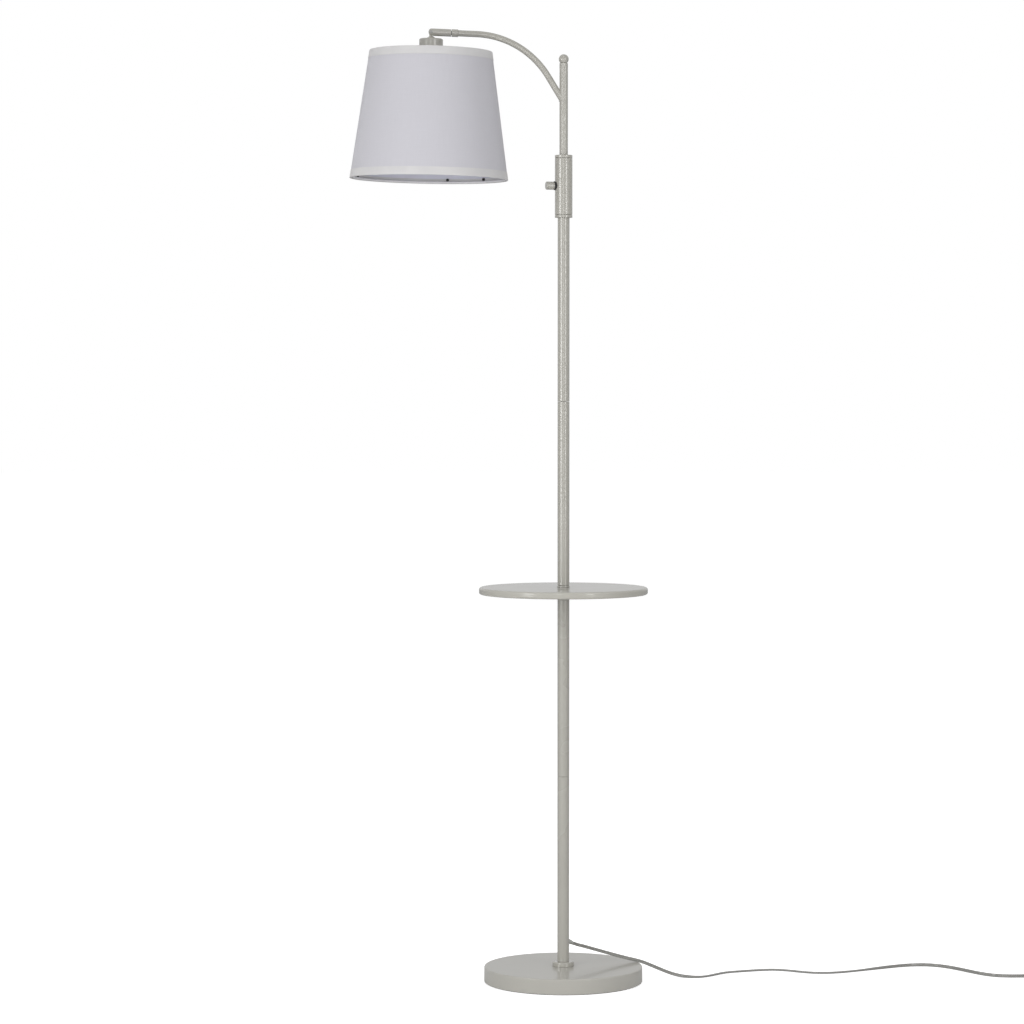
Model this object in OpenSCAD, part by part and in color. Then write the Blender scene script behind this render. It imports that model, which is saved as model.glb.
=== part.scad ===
// Floor lamp with a table: a weighted round base, a pole in four screwed sections with a round table
// clamped between the second and the third, and a height-adjustable stem with a bent arm and a shade.
// Millimetres, +Z up. The origin is the middle of the base on the floor, and the arm points to -X.

/* [Base] */
// Diameter of the base cover
base_d = 254; // [200:2:320]
// Height of the base from floor to top
base_h = 25; // [22:1:40]
// Rounding of the cover's top edge
base_edge_r = 2; // [1:0.5:8]
// Sheet thickness of the pressed cover
cover_wall = 1.2; // [0.8:0.1:2]
// Height of the cover's lower rim above the floor
cover_lift = 0.8; // [0.5:0.1:1.5]
// Thickness of the felt pad
pad_t = 2; // [1.6:0.2:4]
// Thickness of the iron weight's disc
weight_t = 12; // [8:1:15]
// Diameter of the boss that carries the cover
weight_boss_d = 60; // [44:2:90]

/* [Pole] */
// Outer diameter of the pole tube
pole_d = 19; // [18.4:0.2:22]
// Wall of the pole tube
pole_wall = 1; // [0.8:0.1:1.2]
// Length of the lowest section
section_1_len = 298.2; // [200:0.2:400]
// Length of the section below the table
section_2_len = 286.6; // [200:0.2:400]
// Length of the section above the table
section_3_len = 294; // [200:0.2:400]
// Length of the top section, with its end in the sleeve
section_4_len = 308.7; // [290:0.1:400]
// Diameter of the rings at the pole's foot and at the table
ring_d = 35; // [30:1:44]
// Thickness of the ring at the pole's foot
foot_ring_t = 7.3; // [3:0.1:8]
// Length of the tapped insert in each tube end
insert_len = 14; // [10:1:20]
// Outer diameter of the threaded studs that join the sections
stud_d = 9.7; // [9:0.1:10.4]
// Wire bore of the threaded studs
stud_bore = 7.5; // [6.5:0.1:8]

/* [Table] */
// Diameter of the table top
table_d = 270; // [200:2:360]
// Thickness of the table top
table_t = 11.1; // [8:0.1:16]
// Rounding of the table's upper and lower edge
table_edge_r = 3.2; // [1:0.1:3.9]
// Thickness of the ring under the table
lower_ring_t = 6; // [3:0.5:10]
// Thickness of the ring on the table
upper_ring_t = 3.1; // [3:0.1:8]
// Diameter of the collar above the table, nearly flush with the pole
upper_ring_d = 20.6; // [20:0.2:40]

/* [Sleeve] */
// Outer diameter of the sleeve
sleeve_d = 28; // [27:0.5:32]
// Wall of the sleeve body
sleeve_wall = 2; // [1.6:0.1:2.2]
// Length of the pole's top end that stands in the sleeve
pole_in_sleeve = 16; // [12:1:24]
// Height of the sleeve's lower cap that shows
lower_cap_h = 4.2; // [3:0.1:8]
// Height of the sleeve body between the caps
sleeve_body_h = 90.6; // [70:0.1:120]
// Height of the sleeve's upper cap that shows
upper_cap_h = 4.6; // [3:0.1:8]
// Length of the upper cap's spigot inside the body
upper_spigot = 12; // [8:1:20]

/* [Clamp screw] */
// Height of the screw above the sleeve's lower end
clamp_up = 50.6; // [44:0.2:56]
// Angle of the screw from -X towards the viewer at -Y
clamp_turn = 15; // [0:5:45]
// Diameter of the screw
clamp_screw_d = 6; // [4:0.5:7]
// Diameter of the knob
knob_d = 13; // [11:0.5:18]
// Length of the knob
knob_len = 13; // [10:0.5:20]
// Diameter of the rubber washer under the knob
washer_d = 14; // [12:0.5:18]
// Thickness of the washer outside the sleeve
washer_t = 1.9; // [1.5:0.1:3]

/* [Stem] */
// Outer diameter of the stem tube
stem_d = 13.5; // [12:0.1:14]
// Wall of the stem tube
stem_wall = 1; // [0.8:0.1:1.5]
// Length of the stem above the sleeve, to the finial
stem_out = 145.7; // [120:0.1:200]
// Length of the stem below the sleeve's upper end
stem_in = 229; // [205:1:250]
// Diameter of the ball finial
ball_d = 15.8; // [15:0.1:20]
// Height of the ball's centre above the stem's end
ball_up = 6.3; // [5:0.1:8]
// Length of the guide bush round the stem's lower end
guide_len = 25; // [15:1:28]

/* [Arm] */
// Outer diameter of the arm tube
arm_d = 10; // [9:0.5:11]
// Wall of the arm tube
arm_wall = 1; // [0.8:0.1:1.2]
// Height of the weld above the sleeve, on the stem's axis
weld_up = 83.8; // [80:0.1:100]
// Angle of the arm above the horizontal where it leaves the stem
arm_rise = 58.8; // [50:0.2:65]
// Length of the straight part next to the stem, from the stem's axis
arm_foot_len = 47.5; // [35:0.5:60]
// Radius of the bend, on the tube's centre line
arm_bend_r = 140; // [120:5:160]
// Angle of the arm's outer end above the horizontal
arm_tip_rise = 2.5; // [0:0.5:5]
// Length of the straight part at the outer end
arm_tip_len = 40; // [30:1:60]
// Diameter of the collar at the arm's end
collar_d = 12.2; // [11.4:0.2:14]
// Length of the collar
collar_len = 10.3; // [9:0.1:14]

/* [Swivel and knuckle] */
// Diameter of the swivel barrel
barrel_d = 11.8; // [11.6:0.1:13]
// Length from the collar to the barrel's rounded nose
barrel_len = 37.2; // [36.2:0.1:37.5]
// Gap that shows between collar and barrel
swivel_gap = 0.7; // [0.3:0.1:0.8]
// Diameter of the hollow stud that the barrel turns on
pivot_stud_d = 6.5; // [6:0.1:6.8]
// Distance of the tilt axis from the collar
tilt_at = 32.5; // [32.1:0.1:32.9]
// Diameter of the tilt screw
tilt_screw_d = 3; // [2.5:0.1:3.4]
// Thickness of the tongue
tongue_t = 4; // [3.4:0.1:4.2]
// Width of the tongue and diameter of the neck
neck_d = 6; // [5.8:0.1:7.2]
// Lean of the head as photographed, lower end outwards
head_lean = 1; // [0:0.5:3]

/* [Socket] */
// Depth of the cup's top below the tilt axis
cup_drop = 10.4; // [8.6:0.1:12]
// Outer diameter of the cup
cup_d = 38; // [37:0.5:44]
// Height of the cup
cup_h = 38.2; // [36:0.1:50]
// Wall of the cup
cup_wall = 1; // [0.8:0.1:1.2]
// Rounding of the cup's top edge
cup_edge_r = 2.6; // [1:0.1:6]
// Outer diameter of the lampholder
socket_d = 33; // [32:0.2:34]
// Length of the lampholder below the cup's rim
socket_out = 14; // [12:1:20]
// Outer diameter of the ring that clamps the shade's fitter
socket_ring_d = 42; // [39:0.5:48]
// Diameter of the bulb's screw cap
bulb_cap_d = 26.4; // [26:0.1:26.6]
// Widest diameter of the bulb
bulb_d = 60; // [45:1:70]
// Length of the bulb's glass below the lampholder
bulb_len = 82; // [70:1:100]
// Angle of the switch key from -Y
key_turn = 20; // [0:5:90]
// Diameter of the switch key's knob
key_d = 9; // [7:0.5:12]

/* [Shade] */
// Depth of the shade's top edge below the tilt axis
shade_drop = 30.4; // [26:0.1:36]
// Outer diameter at the top
shade_top_d = 196; // [180:1:220]
// Outer diameter at the bottom
shade_bottom_d = 253; // [220:1:300]
// Height from top edge to bottom edge
shade_h = 203; // [170:1:240]
// Thickness of the stiff liner
liner_t = 0.8; // [0.6:0.1:1.2]
// Thickness of the fabric
fabric_t = 0.5; // [0.4:0.1:0.8]
// Height of the hem bands
hem_h = 13; // [8:1:20]
// Thickness of the hem tape
hem_t = 0.4; // [0.3:0.1:0.6]
// Diameter of the frame's wire
wire_d = 3; // [2:0.5:4]
// Distance of the small nuts from the shade's lower edge
rim_nut_up = 6.5; // [5:0.5:12]

/* [Lead] */
// Width of the flat twin lead
lead_w = 5.3; // [4.6:0.1:5.6]
// Thickness of the flat twin lead
lead_t = 2.8; // [2.4:0.1:3]
// Height at which the lead leaves the pole's wall
lead_exit_z = 65; // [63:1:67]
// Angle of the outlet from +X towards the back
lead_exit_turn = 60; // [55:1:65]
// Slope of the outlet below the horizontal
lead_exit_drop = 20; // [18:1:22]
// Length of the tapered strain relief
relief_len = 20; // [18:1:22]

/* [Hidden] */
$fn = 72;

// Colours of the finishes
paint = "#b8b6b0";
bare_iron = "#55534f";
zinc = "#9a9a98";
brass = "#b89a4e";
black_rubber = "#1d1d1e";
phenolic = "#26221f";
cloth = "#c4c3c9";
hem_tape = "#cbcac8";
white_liner = "#dcdce0";
clear_pvc = "#9d9f9c";
clear_glass = "#eef0f0";

// Clearances
run_gap = 0.05;    // radial, of a part that turns or slides on another
seat_gap = 0.3;    // between pieces on different bodies that lie on each other
drill_gap = 0.3;   // radial, of a bolt in a drilled hole or a tube in a bore that doesn't guide it
face_gap = 0.1;    // between flat faces that rub
over = 1;          // how far a cutter runs past a face

// Heights up the pole
foot_z = base_h + foot_ring_t;
seam_1_z = foot_z + section_1_len;
table_ring_z = seam_1_z + section_2_len;
table_under_z = table_ring_z + lower_ring_t;
table_z = table_under_z + table_t;
section_3_z = table_z + upper_ring_t;
seam_2_z = section_3_z + section_3_len;
pole_top_z = seam_2_z + section_4_len;
sleeve_z = pole_top_z - pole_in_sleeve;
sleeve_body_z = sleeve_z + lower_cap_h;
upper_cap_z = sleeve_body_z + sleeve_body_h;
sleeve_top_z = upper_cap_z + upper_cap_h;
clamp_z = sleeve_z + clamp_up;

// Radii
pole_r = pole_d / 2;
pole_bore_r = pole_r - pole_wall;
stud_r = stud_d / 2;
sleeve_r = sleeve_d / 2;
sleeve_bore_r = sleeve_r - sleeve_wall;
stem_r = stem_d / 2;
stem_bore_r = stem_r - stem_wall;
arm_r = arm_d / 2;
arm_bore_r = arm_r - arm_wall;
cover_bore_r = base_d / 2 - cover_wall;

// Stem
stem_top_z = sleeve_top_z + stem_out;
stem_foot_z = sleeve_top_z - stem_in;
clip_t = 1.2;
clip_r = stem_r + 1;
guide_z = stem_foot_z + 1.8;
weld_z = sleeve_top_z + weld_up;

// Arm: the points of its centre line in the plane of X and Z, seen from -Y
arm_bend_at = [-arm_foot_len * cos(arm_rise), weld_z + arm_foot_len * sin(arm_rise)];
arm_bend_mid = arm_bend_at - arm_bend_r * [sin(arm_rise), cos(arm_rise)];
arm_tip_at = arm_bend_mid + arm_bend_r * [sin(arm_tip_rise), cos(arm_tip_rise)];
arm_end = arm_tip_at + arm_tip_len * [-cos(arm_tip_rise), sin(arm_tip_rise)];
tilt_axis = arm_end + tilt_at * [-cos(arm_tip_rise), sin(arm_tip_rise)];

// Head: depths below the tilt axis, down the shade's own axis
neck_drop = barrel_d / 2 + 0.7;
cup_rim = cup_drop + cup_h;
fitter_t = 1.2;
socket_ring_h = 6.5;
socket_end = cup_rim + socket_out;
socket_top = cup_drop + 4.5;
shell_len = 26;
shell_t = 0.5;
shell_r = bulb_cap_d / 2 + 0.3 + shell_t;
shell_top = socket_end - 1 - shell_len;
key_shaft_r = 1.5;
key_drop = shell_top - 2 * key_shaft_r;
shade_bottom = shade_drop + shade_h;
shade_slope = (shade_bottom_d - shade_top_d) / 2 / shade_h;
function shade_r(drop) = shade_top_d / 2 + shade_slope * (drop - shade_drop);

// ---------- shared shapes ----------

// Cuts a square outer corner of a profile to a quarter round; it stands at the round's centre
module round_corner(f) {
    difference() {
        square(f + over);
        circle(r = f);
    }
}

// Profile of a disc or ring with rounded outer edges
module ring_profile(r_in, r_out, z0, z1, f_low, f_high) {
    difference() {
        translate([r_in, z0]) square([r_out - r_in, z1 - z0]);
        translate([r_out - f_high, z1 - f_high]) round_corner(f_high);
        translate([r_out - f_low, z0 + f_low]) mirror([0, 1]) round_corner(f_low);
    }
}

// A plain ring between two heights
module plain_ring(r_in, r_out, z0, z1) {
    rotate_extrude() translate([r_in, z0]) square([r_out - r_in, z1 - z0]);
}

// A tube with small chamfers at both ends, which show as a fine seam line where two tubes meet
module chamfered_tube(r_in, r_out, z0, z1, c) {
    rotate_extrude() polygon([
        [r_in, z0], [r_out - c, z0], [r_out, z0 + c],
        [r_out, z1 - c], [r_out - c, z1], [r_in, z1]
    ]);
}

// Threaded stud with a wire bore
module hollow_stud(z0, z1) {
    plain_ring(stud_bore / 2, stud_r, z0, z1);
}

// Moves its children to the arm's outer end: +Z runs outwards along the arm and +X is up
module at_arm_end() {
    translate([arm_end[0], 0, arm_end[1]]) rotate([0, arm_tip_rise - 90, 0]) children();
}

// Moves its children to the head: the origin is on the tilt axis and the shade hangs down -Z
module at_head() {
    translate([tilt_axis[0], 0, tilt_axis[1]]) rotate([0, head_lean, 0]) children();
}

// Moves its children to the clamp screw: +Z runs outwards from the stem's axis
module at_clamp() {
    translate([0, 0, clamp_z]) rotate([0, 90, 180 + clamp_turn]) children();
}

// Moves its children to the lead's outlet: +Z runs outwards and down from the pole's axis
module at_outlet() {
    translate([0, 0, lead_exit_z + pole_r * tan(lead_exit_drop)])
        rotate([0, 90 + lead_exit_drop, lead_exit_turn]) children();
}

// ---------- base ----------

module base_pad() {
    color(black_rubber) cylinder(r = cover_bore_r - 0.5, h = pad_t);
}

nut_recess_r = 17;
nut_recess_h = 8.5;
module base_weight() {
    color(bare_iron) difference() {
        union() {
            translate([0, 0, pad_t]) cylinder(r = cover_bore_r - 1.5, h = weight_t);
            translate([0, 0, pad_t]) cylinder(d = weight_boss_d, h = base_h - cover_wall - pad_t);
        }
        translate([0, 0, pad_t - over]) cylinder(r = nut_recess_r, h = nut_recess_h + over);
        cylinder(r = stud_r + drill_gap, h = base_h + over);
    }
}

module base_cover() {
    color(paint) rotate_extrude() difference() {
        ring_profile(stud_r + drill_gap, base_d / 2, cover_lift, base_h, 0.4, base_edge_r);
        ring_profile(0, cover_bore_r, cover_lift - over, base_h - cover_wall, 0.1, base_edge_r - cover_wall / 2);
    }
}

washer_plate_t = 1.5;
module base_washer() {
    top = pad_t + nut_recess_h;
    color(zinc) plain_ring(stud_r + drill_gap, 14, top - washer_plate_t, top);
}

base_nut_h = 5;
module base_nut() {
    color(zinc) translate([0, 0, pad_t + nut_recess_h - washer_plate_t - base_nut_h]) difference() {
        cylinder(r = 9.8, h = base_nut_h, $fn = 6);
        translate([0, 0, -over]) cylinder(r = stud_r + run_gap, h = base_nut_h + 2 * over);
    }
}

module base_stud() {
    color(zinc) hollow_stud(pad_t + 0.8, foot_z + insert_len - 2);
}

module foot_ring() {
    color(paint) rotate_extrude()
        ring_profile(stud_r + drill_gap, ring_d / 2, base_h, foot_z, 0.6, foot_ring_t * 0.3);
}

// ---------- pole ----------

seam_chamfer = 0.35;
relief_neck_r = 3.8;
module pole_section_1() {
    color(paint) difference() {
        chamfered_tube(pole_bore_r, pole_r, foot_z, seam_1_z, seam_chamfer);
        at_outlet() cylinder(r = relief_neck_r, h = pole_d);
    }
}

module pole_section_2() {
    color(paint) chamfered_tube(pole_bore_r, pole_r, seam_1_z, table_ring_z, seam_chamfer);
}

module pole_section_3() {
    color(paint) chamfered_tube(pole_bore_r, pole_r, section_3_z, seam_2_z, seam_chamfer);
}

module pole_section_4() {
    color(paint) chamfered_tube(pole_bore_r, pole_r, seam_2_z, pole_top_z, seam_chamfer);
}

// Tapped inserts pressed into the tube ends: lower ends first, then upper ends
module pole_inserts() {
    lower_ends = [foot_z, seam_1_z, section_3_z, seam_2_z];
    upper_ends = [seam_1_z, table_ring_z, seam_2_z];
    recess = 0.2;
    starts = concat([for (z = lower_ends) z + recess], [for (z = upper_ends) z - recess - insert_len]);
    color(zinc) for (z = starts) plain_ring(stud_r + run_gap, pole_bore_r, z, z + insert_len);
}

// Threaded studs that join the sections at the two seams
module pole_joiners() {
    half = insert_len - 3;
    color(zinc) for (z = [seam_1_z, seam_2_z]) hollow_stud(z - half, z + half);
}

// ---------- table ----------

module table_ring_lower() {
    color(paint) rotate_extrude()
        ring_profile(stud_r + drill_gap, ring_d / 2, table_ring_z, table_under_z, 1.5, 0.6);
}

module table_top() {
    color(paint) rotate_extrude()
        ring_profile(stud_r + drill_gap, table_d / 2, table_under_z, table_z, table_edge_r, table_edge_r);
}

module table_ring_upper() {
    color(paint) rotate_extrude()
        ring_profile(stud_r + drill_gap, upper_ring_d / 2, table_z, section_3_z, 0.5, 0.5);
}

module table_stud() {
    color(zinc) hollow_stud(table_ring_z - insert_len + 2, section_3_z + insert_len - 2);
}

// ---------- sleeve and clamp ----------

cap_chamfer = 0.7;
stop_t = 3;
module sleeve_cap_lower() {
    color(paint) union() {
        chamfered_tube(pole_r, sleeve_r, sleeve_z, sleeve_body_z, cap_chamfer);
        plain_ring(pole_r, sleeve_bore_r, sleeve_body_z, pole_top_z);
        plain_ring(stem_r + drill_gap, sleeve_bore_r, pole_top_z, pole_top_z + stop_t);
    }
}

module sleeve_body() {
    color(paint) difference() {
        chamfered_tube(sleeve_bore_r, sleeve_r, sleeve_body_z, upper_cap_z, cap_chamfer);
        at_clamp() cylinder(r = clamp_screw_d / 2 + 0.4, h = sleeve_d);
    }
}

module sleeve_cap_upper() {
    color(paint) union() {
        chamfered_tube(stem_r + run_gap, sleeve_r, upper_cap_z, sleeve_top_z, cap_chamfer);
        plain_ring(stem_r + run_gap, sleeve_bore_r, upper_cap_z - upper_spigot, upper_cap_z);
    }
}

clamp_block_h = 16;
module clamp_block() {
    color(zinc) difference() {
        plain_ring(stem_r + drill_gap, sleeve_bore_r, clamp_z - clamp_block_h / 2, clamp_z + clamp_block_h / 2);
        at_clamp() cylinder(r = clamp_screw_d / 2 + run_gap, h = sleeve_d);
    }
}

washer_end = sleeve_r + seat_gap + washer_t;
knob_foot = washer_end + face_gap;
module clamp_washer() {
    color(black_rubber) difference() {
        at_clamp() translate([0, 0, sleeve_r - 3]) cylinder(d = washer_d, h = washer_end - sleeve_r + 3);
        at_clamp() cylinder(r = clamp_screw_d / 2 + 0.4, h = sleeve_d);
        translate([0, 0, clamp_z - washer_d]) cylinder(r = sleeve_r + seat_gap, h = 2 * washer_d);
    }
}

tip_gap = 0.2;
screw_in_knob = 8;
module clamp_screw() {
    color(zinc) at_clamp() translate([0, 0, stem_r + tip_gap])
        cylinder(d = clamp_screw_d, h = knob_foot + screw_in_knob - stem_r - tip_gap);
}

// Turned knob with a groove near its inner end and a low dome outside
module clamp_knob() {
    r = knob_d / 2;
    groove = 0.5;
    dome = 1;
    bore = clamp_screw_d / 2;
    color(paint) at_clamp() translate([0, 0, knob_foot]) rotate_extrude() polygon([
        [bore, 0], [r - groove, 0], [r, groove],
        [r, 1.6], [r - groove, 1.8], [r - groove, 2.2], [r, 2.4],
        [r, knob_len - dome], [r - dome * 0.6, knob_len - dome * 0.3], [r * 0.5, knob_len - 0.05],
        [0, knob_len], [0, screw_in_knob], [bore, screw_in_knob]
    ]);
}

// ---------- stem ----------

module stem_guide() {
    color("white") plain_ring(stem_r + run_gap, pole_bore_r - run_gap, guide_z, guide_z + guide_len);
}

// Snap rings below and above the guide bush
module stem_clips() {
    clips = [guide_z - face_gap - clip_t, guide_z + guide_len + face_gap];
    color(zinc) for (z = clips) plain_ring(stem_r, clip_r, z, z + clip_t);
}

module stem_tube() {
    color(paint) difference() {
        plain_ring(stem_bore_r, stem_r, stem_foot_z, stem_top_z);
        translate([0, 0, weld_z]) rotate([0, arm_rise - 90, 0]) cylinder(r = arm_bore_r - 0.6, h = 2 * stem_d);
    }
}

module stem_finial() {
    color(paint) intersection() {
        union() {
            translate([0, 0, stem_top_z + ball_up]) sphere(d = ball_d);
            translate([0, 0, stem_top_z - 8]) cylinder(r = stem_bore_r, h = 8 + ball_up);
        }
        union() {
            translate([0, 0, stem_top_z]) cylinder(d = ball_d + over, h = ball_d + ball_up);
            translate([0, 0, stem_top_z - 8]) cylinder(r = stem_bore_r, h = 8);
        }
    }
}

// ---------- arm ----------

// A round bar or tube along the arm's centre line, from the stem's axis to the outer end. The bend is a
// hair thicker than the straight parts, which reach a little way into it.
bend_more = 0.05;
module arm_run(r_out, r_in, foot_from, tip_more) {
    reach = 0.8;
    translate([0, 0, weld_z]) rotate([0, arm_rise - 90, 0])
        plain_ring(r_in, r_out, foot_from, arm_foot_len + reach);
    translate([arm_bend_mid[0], 0, arm_bend_mid[1]]) rotate([90, 0, 0]) rotate([0, 0, 90 - arm_rise])
        rotate_extrude(angle = arm_rise - arm_tip_rise) translate([arm_bend_r, 0]) difference() {
            circle(r = r_out + bend_more);
            if (r_in > 0) circle(r = r_in - bend_more);
        }
    translate([arm_tip_at[0], 0, arm_tip_at[1]]) rotate([0, arm_tip_rise - 90, 0])
        plain_ring(r_in, r_out, -reach, arm_tip_len + tip_more);
}

collar_socket = 6;
module arm_tube() {
    color(paint) difference() {
        arm_run(arm_r, arm_bore_r, 0, collar_socket - collar_len);
        translate([0, 0, weld_z - stem_d]) cylinder(r = stem_r, h = 4 * stem_d);
    }
}

module arm_collar() {
    color(paint) at_arm_end() rotate_extrude() difference() {
        ring_profile(0, collar_d / 2, -collar_len, 0, 0.5, 0.5);
        translate([0, -collar_len - over]) square([arm_r, collar_socket + over]);
        square([pivot_stud_d, 3 * collar_len], center = true);
    }
}

flange_at = 10.4;
flange_t = 2;
pivot_bore = 4.6;
module swivel_stud() {
    color(zinc) at_arm_end() union() {
        plain_ring(pivot_bore / 2, pivot_stud_d / 2, collar_socket - collar_len, flange_at);
        plain_ring(pivot_bore / 2, 4.3, flange_at, flange_at + flange_t);
    }
}

barrel_web = 9;
module swivel_washer() {
    color(zinc) at_arm_end()
        plain_ring(pivot_stud_d / 2 + run_gap, 4.4, barrel_web + face_gap, flange_at);
}

// ---------- swivel barrel and knuckle ----------

fork_at = 26;
fork_spigot = 8;
barrel_bore_r = 4.7;
module swivel_barrel() {
    color(paint) at_arm_end() union() {
        plain_ring(pivot_stud_d / 2 + run_gap, barrel_bore_r, swivel_gap, barrel_web);
        chamfered_tube(barrel_bore_r, barrel_d / 2, swivel_gap, fork_at, 0.4);
    }
}

eye_r = neck_d / 2;
eye_room = 1;
fork_slot = tongue_t + 1.2;
nose_r = min(barrel_d / 2 - 0.2, barrel_len - tilt_at + 0.8);
screw_head_r = 2.6;
screw_head_t = 1.6;
module knuckle_fork() {
    color(paint) at_arm_end() difference() {
        rotate_extrude() union() {
            translate([0, fork_at - fork_spigot]) square([barrel_bore_r, fork_spigot]);
            ring_profile(0, barrel_d / 2, fork_at, barrel_len, 0.2, nose_r);
        }
        translate([0, 0, fork_at - fork_spigot - over]) cylinder(d = pivot_bore, h = barrel_len - fork_at + fork_spigot);
        translate([-barrel_d, -fork_slot / 2, tilt_at - eye_r - eye_room])
            cube([barrel_d + eye_r + eye_room, fork_slot, barrel_len]);
        translate([0, 0, tilt_at]) rotate([90, 0, 0]) cylinder(r = tilt_screw_d / 2 + run_gap, h = 2 * barrel_d, center = true);
        translate([0, screw_head_t - barrel_d / 2 + 0.2, tilt_at]) rotate([90, 0, 0])
            cylinder(r = screw_head_r + run_gap, h = barrel_d);
    }
}

module tilt_screw() {
    head_y = barrel_d / 2 - 0.4;
    color(zinc) at_arm_end() translate([0, 0, tilt_at]) rotate([90, 0, 0]) difference() {
        union() {
            translate([0, 0, 1 - barrel_d / 2]) cylinder(d = tilt_screw_d, h = barrel_d - 2);
            translate([0, 0, head_y - screw_head_t + 0.3]) cylinder(r = screw_head_r, h = screw_head_t - 0.3);
        }
        translate([0, 0, head_y]) cube([0.8, 4 * screw_head_r, 1.2], center = true);
    }
}

// Fibre washers on both sides of the tongue, held in the fork
module friction_washers() {
    t = (fork_slot - tongue_t) / 2 - 2 * face_gap;
    color(black_rubber) at_arm_end() translate([0, 0, tilt_at]) for (s = [-1, 1])
        translate([0, s * (tongue_t / 2 + face_gap + t / 2), 0]) rotate([90, 0, 0]) difference() {
            cylinder(r = eye_r - 0.2, h = t, center = true);
            cylinder(r = tilt_screw_d / 2 + run_gap, h = 2 * t, center = true);
        }
}

// Eye and neck of the head, a cone that sits on the cup, and the threaded end that holds the cup
cone_d = 17;
cup_thread = 14;
module knuckle_tongue() {
    color(paint) at_head() difference() {
        union() {
            rotate([90, 0, 0]) cylinder(r = eye_r, h = tongue_t, center = true);
            translate([-eye_r, -tongue_t / 2, -neck_drop - 0.1]) cube([2 * eye_r, tongue_t, neck_drop + 0.1]);
            translate([0, 0, -cup_drop]) cylinder(d1 = cone_d, d2 = neck_d + 0.6, h = cup_drop - neck_drop);
            translate([0, 0, -cup_drop - cup_thread]) cylinder(r = stud_r, h = cup_thread);
        }
        rotate([90, 0, 0]) cylinder(r = tilt_screw_d / 2 + run_gap, h = 2 * tongue_t, center = true);
        translate([0, 0, -cup_drop - cup_thread - over]) cylinder(r = 2.5, h = cup_thread + over);
    }
}

// ---------- lampholder ----------

module socket_cup() {
    color(paint) at_head() mirror([0, 0, 1]) difference() {
        rotate_extrude() difference() {
            ring_profile(stud_r + drill_gap, cup_d / 2, cup_drop, cup_rim, cup_edge_r, 0.3);
            ring_profile(0, cup_d / 2 - cup_wall, cup_drop + cup_wall, cup_rim + over, cup_edge_r - cup_wall / 2, 0.1);
        }
        translate([0, 0, key_drop]) rotate([90, 0, -key_turn]) cylinder(r = key_shaft_r + 0.8, h = cup_d);
    }
}

cup_nut_t = 3.2;
module socket_body() {
    color(phenolic) at_head() mirror([0, 0, 1]) difference() {
        rotate_extrude() difference() {
            ring_profile(stud_r + run_gap, socket_d / 2, socket_top, socket_end, 1.5, 1);
            translate([0, shell_top]) square([shell_r, socket_end]);
        }
        translate([0, 0, key_drop]) rotate([90, 0, -key_turn])
            translate([0, 0, 8]) cylinder(r = key_shaft_r + run_gap, h = cup_d);
    }
    color(zinc) at_head() mirror([0, 0, 1])
        plain_ring(stud_r + run_gap, cup_d / 2 - cup_wall - cup_edge_r, cup_drop + cup_wall, socket_top);
}

module socket_shell() {
    color(brass) at_head() mirror([0, 0, 1]) plain_ring(shell_r - shell_t, shell_r, shell_top + 0.5, socket_end - 1);
}

contact_t = 1.5;
module socket_contact() {
    color(brass) at_head() mirror([0, 0, 1]) translate([0, 0, shell_top - 2]) cylinder(r = stud_r, h = contact_t + 2);
}

module socket_ring() {
    color(phenolic) at_head() mirror([0, 0, 1]) rotate_extrude()
        ring_profile(socket_d / 2, socket_ring_d / 2, cup_rim + fitter_t, cup_rim + fitter_t + socket_ring_h, 0.6, 1.5);
}

key_len = 12;
module switch_key() {
    from = cup_d / 2 + 2;
    color(phenolic) at_head() mirror([0, 0, 1]) translate([0, 0, key_drop]) rotate([90, 0, -key_turn]) union() {
        translate([0, 0, 9]) cylinder(r = key_shaft_r, h = from - 8);
        translate([0, 0, from]) cylinder(d = key_d, h = key_len);
    }
}

// Screw cap of the bulb, with its contact at the top
cap_len = shell_len - contact_t - 4;
module bulb_cap() {
    r = bulb_cap_d / 2;
    top = shell_top + contact_t + 0.3;
    color(brass) at_head() mirror([0, 0, 1]) rotate_extrude() polygon([
        [0, top], [4, top], [5, top + 1], [r - 3, top + 2.5], [r, top + 4.5],
        [r, socket_end - 1], [r - 1, socket_end - 1], [r - 1, top + 5.5], [0, top + 4]
    ]);
}

// Pear-shaped glass: neck, shoulder as one cosine curve, then a round end
glass_t = 0.9;
function pear_r(z, neck_r, end_r, neck_len) = neck_r + (end_r - neck_r) * (1 - cos(180 * z / neck_len)) / 2;
function pear(neck_r, end_r, start, neck_len) = concat(
    [for (i = [0:10]) [pear_r(neck_len * i / 10, neck_r, end_r, neck_len), start + neck_len * i / 10]],
    [for (a = [10:10:80]) [end_r * cos(a), start + neck_len + end_r * sin(a)]],
    [[0, start + neck_len + end_r]]
);
module bulb_glass() {
    end_r = bulb_d / 2;
    neck_r = bulb_cap_d / 2 - 1.4;
    neck_len = bulb_len - end_r;
    start = socket_end - 4;
    color(clear_glass) at_head() mirror([0, 0, 1]) rotate_extrude() difference() {
        polygon(concat([[0, start]], pear(neck_r, end_r, start, neck_len + 4)));
        polygon(concat([[0, start - over]], pear(neck_r - glass_t, end_r - glass_t, start - 0.01, neck_len + 4)));
    }
}

// ---------- shade ----------

tape_t = hem_t + 0.05;  // the tape with its glue

// Profile of a band that follows the shade's slope: its outer face lies in by the given amount
module slope_band(drop0, drop1, in, t) {
    polygon([
        [shade_r(drop0) - in - t, drop0], [shade_r(drop0) - in, drop0],
        [shade_r(drop1) - in, drop1], [shade_r(drop1) - in - t, drop1]
    ]);
}

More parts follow.
